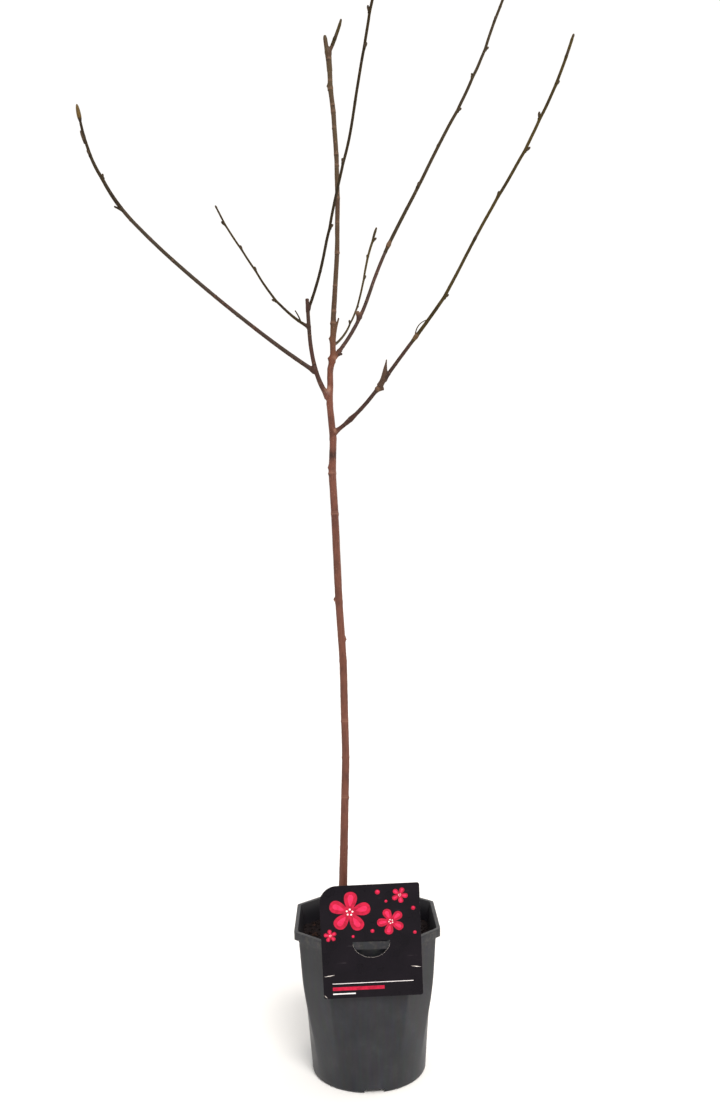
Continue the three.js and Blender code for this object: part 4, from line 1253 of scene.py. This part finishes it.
for name, spec in LIMBS.items():
    limb = grown[name]
    if name == "left_bough":
        continue
    start = spec["bough_end"] + WALL_GAP if spec["bough_end"] else 0
    nodes, outs = [], []
    for number, at in enumerate(limb.nodes):
        if at < start + CLEAR_FOOT:
            continue
        angle = math.radians(number * NODE_TURN + NODE_SCATTER * next(limb.random))
        along, first, second = limb.frame(at)
        out = first * math.cos(angle) + second * math.sin(angle)
        share = at / limb.length
        width = float(limb.diameter(at))
        nodes.append((at, angle, width * YOUNG_NODE_SIZE))
        outs.append((at, out))
        lean = math.radians(BUD_LEAN)
        direction = along * math.cos(lean) + out * math.sin(lean)
        foot = limb.place(at) + out * (width * BUD_OUT + KINK)
        length = float(evenly(BUD_LENGTHS, share)) + width / 2
        side_buds.append(bud_matrix(foot, direction, length, float(evenly(BUD_DIAMETERS, share)), angle))
    length, diameter = spec["tip_bud"]
    tip, tip_along = limb.place(limb.length - BUD_SUNK), limb.frame(limb.length)[0]
    if name == "long_left":
        silky_bud = bud_matrix(tip, tip_along, length, diameter)
        at, right, length, diameter = PRESSED_BUD
        side_buds.append(bud_matrix(limb.place(at) + (right, 0, 0), limb.frame(at)[0], length, diameter))
    else:
        tip_buds.append(bud_matrix(tip, tip_along, length, diameter))

    # The whip and its thin side shoots are tubes; then the nodes are raised on it.
    whip_foot = max(start - OVERLAP, 0) if start else COLLAR_REACH - OVERLAP
    distances = np.arange(whip_foot, limb.length + 0.2, WHIP_STEP)
    centres = limb.place(distances)
    for at, out in outs:
        centres += (KINK * np.exp(-np.abs(distances - at) / KINK_REACH))[:, None] * out
    sway = np.stack([
        noise_at(centres * (0, 0, 1) + (0, axis * 7, 0), SWAY_LENGTH, axis * 5) for axis in range(2)
    ], axis=1)
    fade = np.minimum((distances - distances[0]) / SWAY_SETS_IN, 1)
    centres[:, :2] += SWAY * sway * fade[:, None]
    radii = limb.diameter(distances) / 2 * WHIP_FULLNESS
    tip_share = np.minimum((limb.length - distances) / TIP_TAPER, 1)
    radii = radii * (TIP_WIDTH + (1 - TIP_WIDTH) * tip_share)
    whip = Bone(centres, radii, limb.across, nodes, distances[0])
    lowest_bud = max(min([at for at, *_ in nodes], default=0), start)
    old = old_nodes(limb, distances[0] + WHIP_NODES_FROM, lowest_bud - WHIP_NODES_STOP, bark_random)
    whip.nodes += [(at, angle, size * YOUNG_NODE_SIZE) for at, angle, size in old]
    shoots = []
    if name == "right":
        steps = np.linspace(0, 1, 40)[:, None]
        line = limb.place(spec["stubs"][-1][0]) + steps * DRY_SHOOT_START + steps**2 * DRY_SHOOT_CURL
        shoots = [Bone(line, DRY_SHOOT_WIDTH / 2 * (1.2 - 0.5 * steps[:, 0]), limb.across)]
    elif name in ("long_left", "left"):
        shoots = [stub_bone(limb, stub, SHOOT_BEND) for stub in spec["stubs"]]
    twig = tubes_of(f"{name}_whip", [whip, *shoots])
    points = places_of(twig)
    distance, angle, over, direction = whip.nearest(points)
    raised, scar, rings = node_relief(whip, distance, angle)
    pale = np.zeros(len(points))
    raise_scars_paint_highlights(points, raised, pale)
    on_whip = np.abs(over) < WHIP_SKIN
    rough = noise_at(points, 1.1, 4) * GRAIN_HEIGHT + noise_at(points, 4, 9) * TWIG_LUMP_HEIGHT
    lift = np.where(on_whip, raised * WHIP_RELIEF + rough, rough * SHOOT_ROUGHNESS)
    points = points + direction * lift[:, None]
    move_vertices(twig, points)
    dark = np.where(on_whip, np.maximum(scar, WHIP_DARKNESS * rings), WHIP_DARKNESS)
    set_attribute(twig, "scar", dark)
    share = np.clip(distance / limb.length, 0, 1)
    set_attribute(twig, "age", TWIG_TONES[name] + TIP_TONE * share)
    set_attribute(twig, "pale", pale)
    smooth_to(60)
    twig.data.materials.append(bark_material(
        f"{name}_twig_bark",
        [(0, "#291f12"), (0.5, "#352a15"), (1, "#433716")], [(0, "#291f12"), (1, "#352a15")],
        "#17110b", "#1e160c", "#5e4e34", ("#82634a", "#82634a"), 0.12,
    ))
    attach(twig, "root")
    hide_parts(f"{name}_twigs")


def bud_master(name, foot, widest, bluntness, scale_edges, hook):
    """A bud one unit long and wide that stands on its foot: a sphere drawn out to a blunt
    tip from its widest place, with the edges of its overlapping scales raised."""
    bpy.ops.object.select_all(action="DESELECT")
    bpy.ops.mesh.primitive_uv_sphere_add(segments=20, ring_count=16, radius=0.5)
    made = bpy.context.object
    made.name = name
    for vertex in made.data.vertices:
        up = vertex.co.z + 0.5
        angle = math.atan2(vertex.co.y, vertex.co.x)
        closing = max(0, (up - widest) / (1 - widest)) ** bluntness
        opening = foot + (1 - foot) * math.sin(math.pi / 2 * min(1, up / widest))
        girth = opening * math.sqrt(1 - closing) / 2
        for number in range(scale_edges):
            edge = (number + 1) / (scale_edges + 1.6) + SCALE_WAVE * math.sin(angle + number * 2.4)
            girth *= 1 + SCALE_HEIGHT * max(0, 1 - abs(up - edge) / SCALE_REACH) * (1 if up < edge else 0.3)
        flat = math.hypot(vertex.co.x, vertex.co.y)
        spread = girth / flat if flat > 1e-6 else 0
        vertex.co = Vector((vertex.co.x * spread + hook * up * up, vertex.co.y * spread, up)) * MM
    up_the_bud = [vertex.co.z / MM for vertex in made.data.vertices]
    set_attribute(made, "husk", [min(1, max(0, 1 - up / HUSK) * 2) for up in up_the_bud])
    return made


DOWN = 1.111  # mm across a tuft


def bud_scale_material(name, dark, light, roughness):
    """Bud scales: leathery, with a bloom of fine down that pales them towards the edges."""
    material, shader = new_material(name, Roughness=roughness, Specular_IOR_Level=0.15, Sheen_Weight=0.08)
    spot = add_node(material, "TexCoord", give="Object")
    down = add_node(material, "TexNoise", Vector=spot, Scale=1000 / DOWN, Detail=4)
    tone = add_node(material, "ValToRGB", Fac=down, stops=[(0.35, dark), (0.65, light)])
    husk = add_node(material, "Attribute", give="Fac", attribute_name="husk")
    husked = add_node(material, "Mix", data_type="RGBA", Factor_Float=husk, A_Color=tone, B_Color="#24180e")
    nap = add_node(material, "Bump", Height=down, Strength=0.5, Distance=0.15 * MM)
    set_inputs(material, shader, Base_Color=husked, Normal=nap)
    return material


BUDS = {  # the master's form, the places, the sharpest smooth edge, and the scales' material
    "side_buds": (
        ("side_bud", 0.7, 0.5, 2.4, 2, 0.12), side_buds, 45,
        ("side_bud_scales", "#2b2117", "#463723", 0.6),
    ),
    "end_buds": (
        ("end_bud", 0.75, 0.4, 2, 3, 0), tip_buds, 45,
        ("end_bud_scales", "#2d2419", "#4c3e29", 0.65),
    ),
    "flower_bud": (
        ("flower_bud_form", 0.55, 0.34, 2.2, 1, -0.18), [silky_bud], 180,
        ("silky_bud_scales", "#433419", "#69532b", 0.75),
    ),
}
for name, (form, places, sharpest, look) in BUDS.items():
    buds = deal_out(name, [bud_master(*form)], [(0, place) for place in places])
    select_only(buds)
    smooth_to(sharpest)
    buds.data.materials.append(bud_scale_material(*look))
    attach(buds, "root")


boxes = {"cad": cad_box, "visual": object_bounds()}
{name: [list(corner) for corner in box] for name, box in boxes.items()}
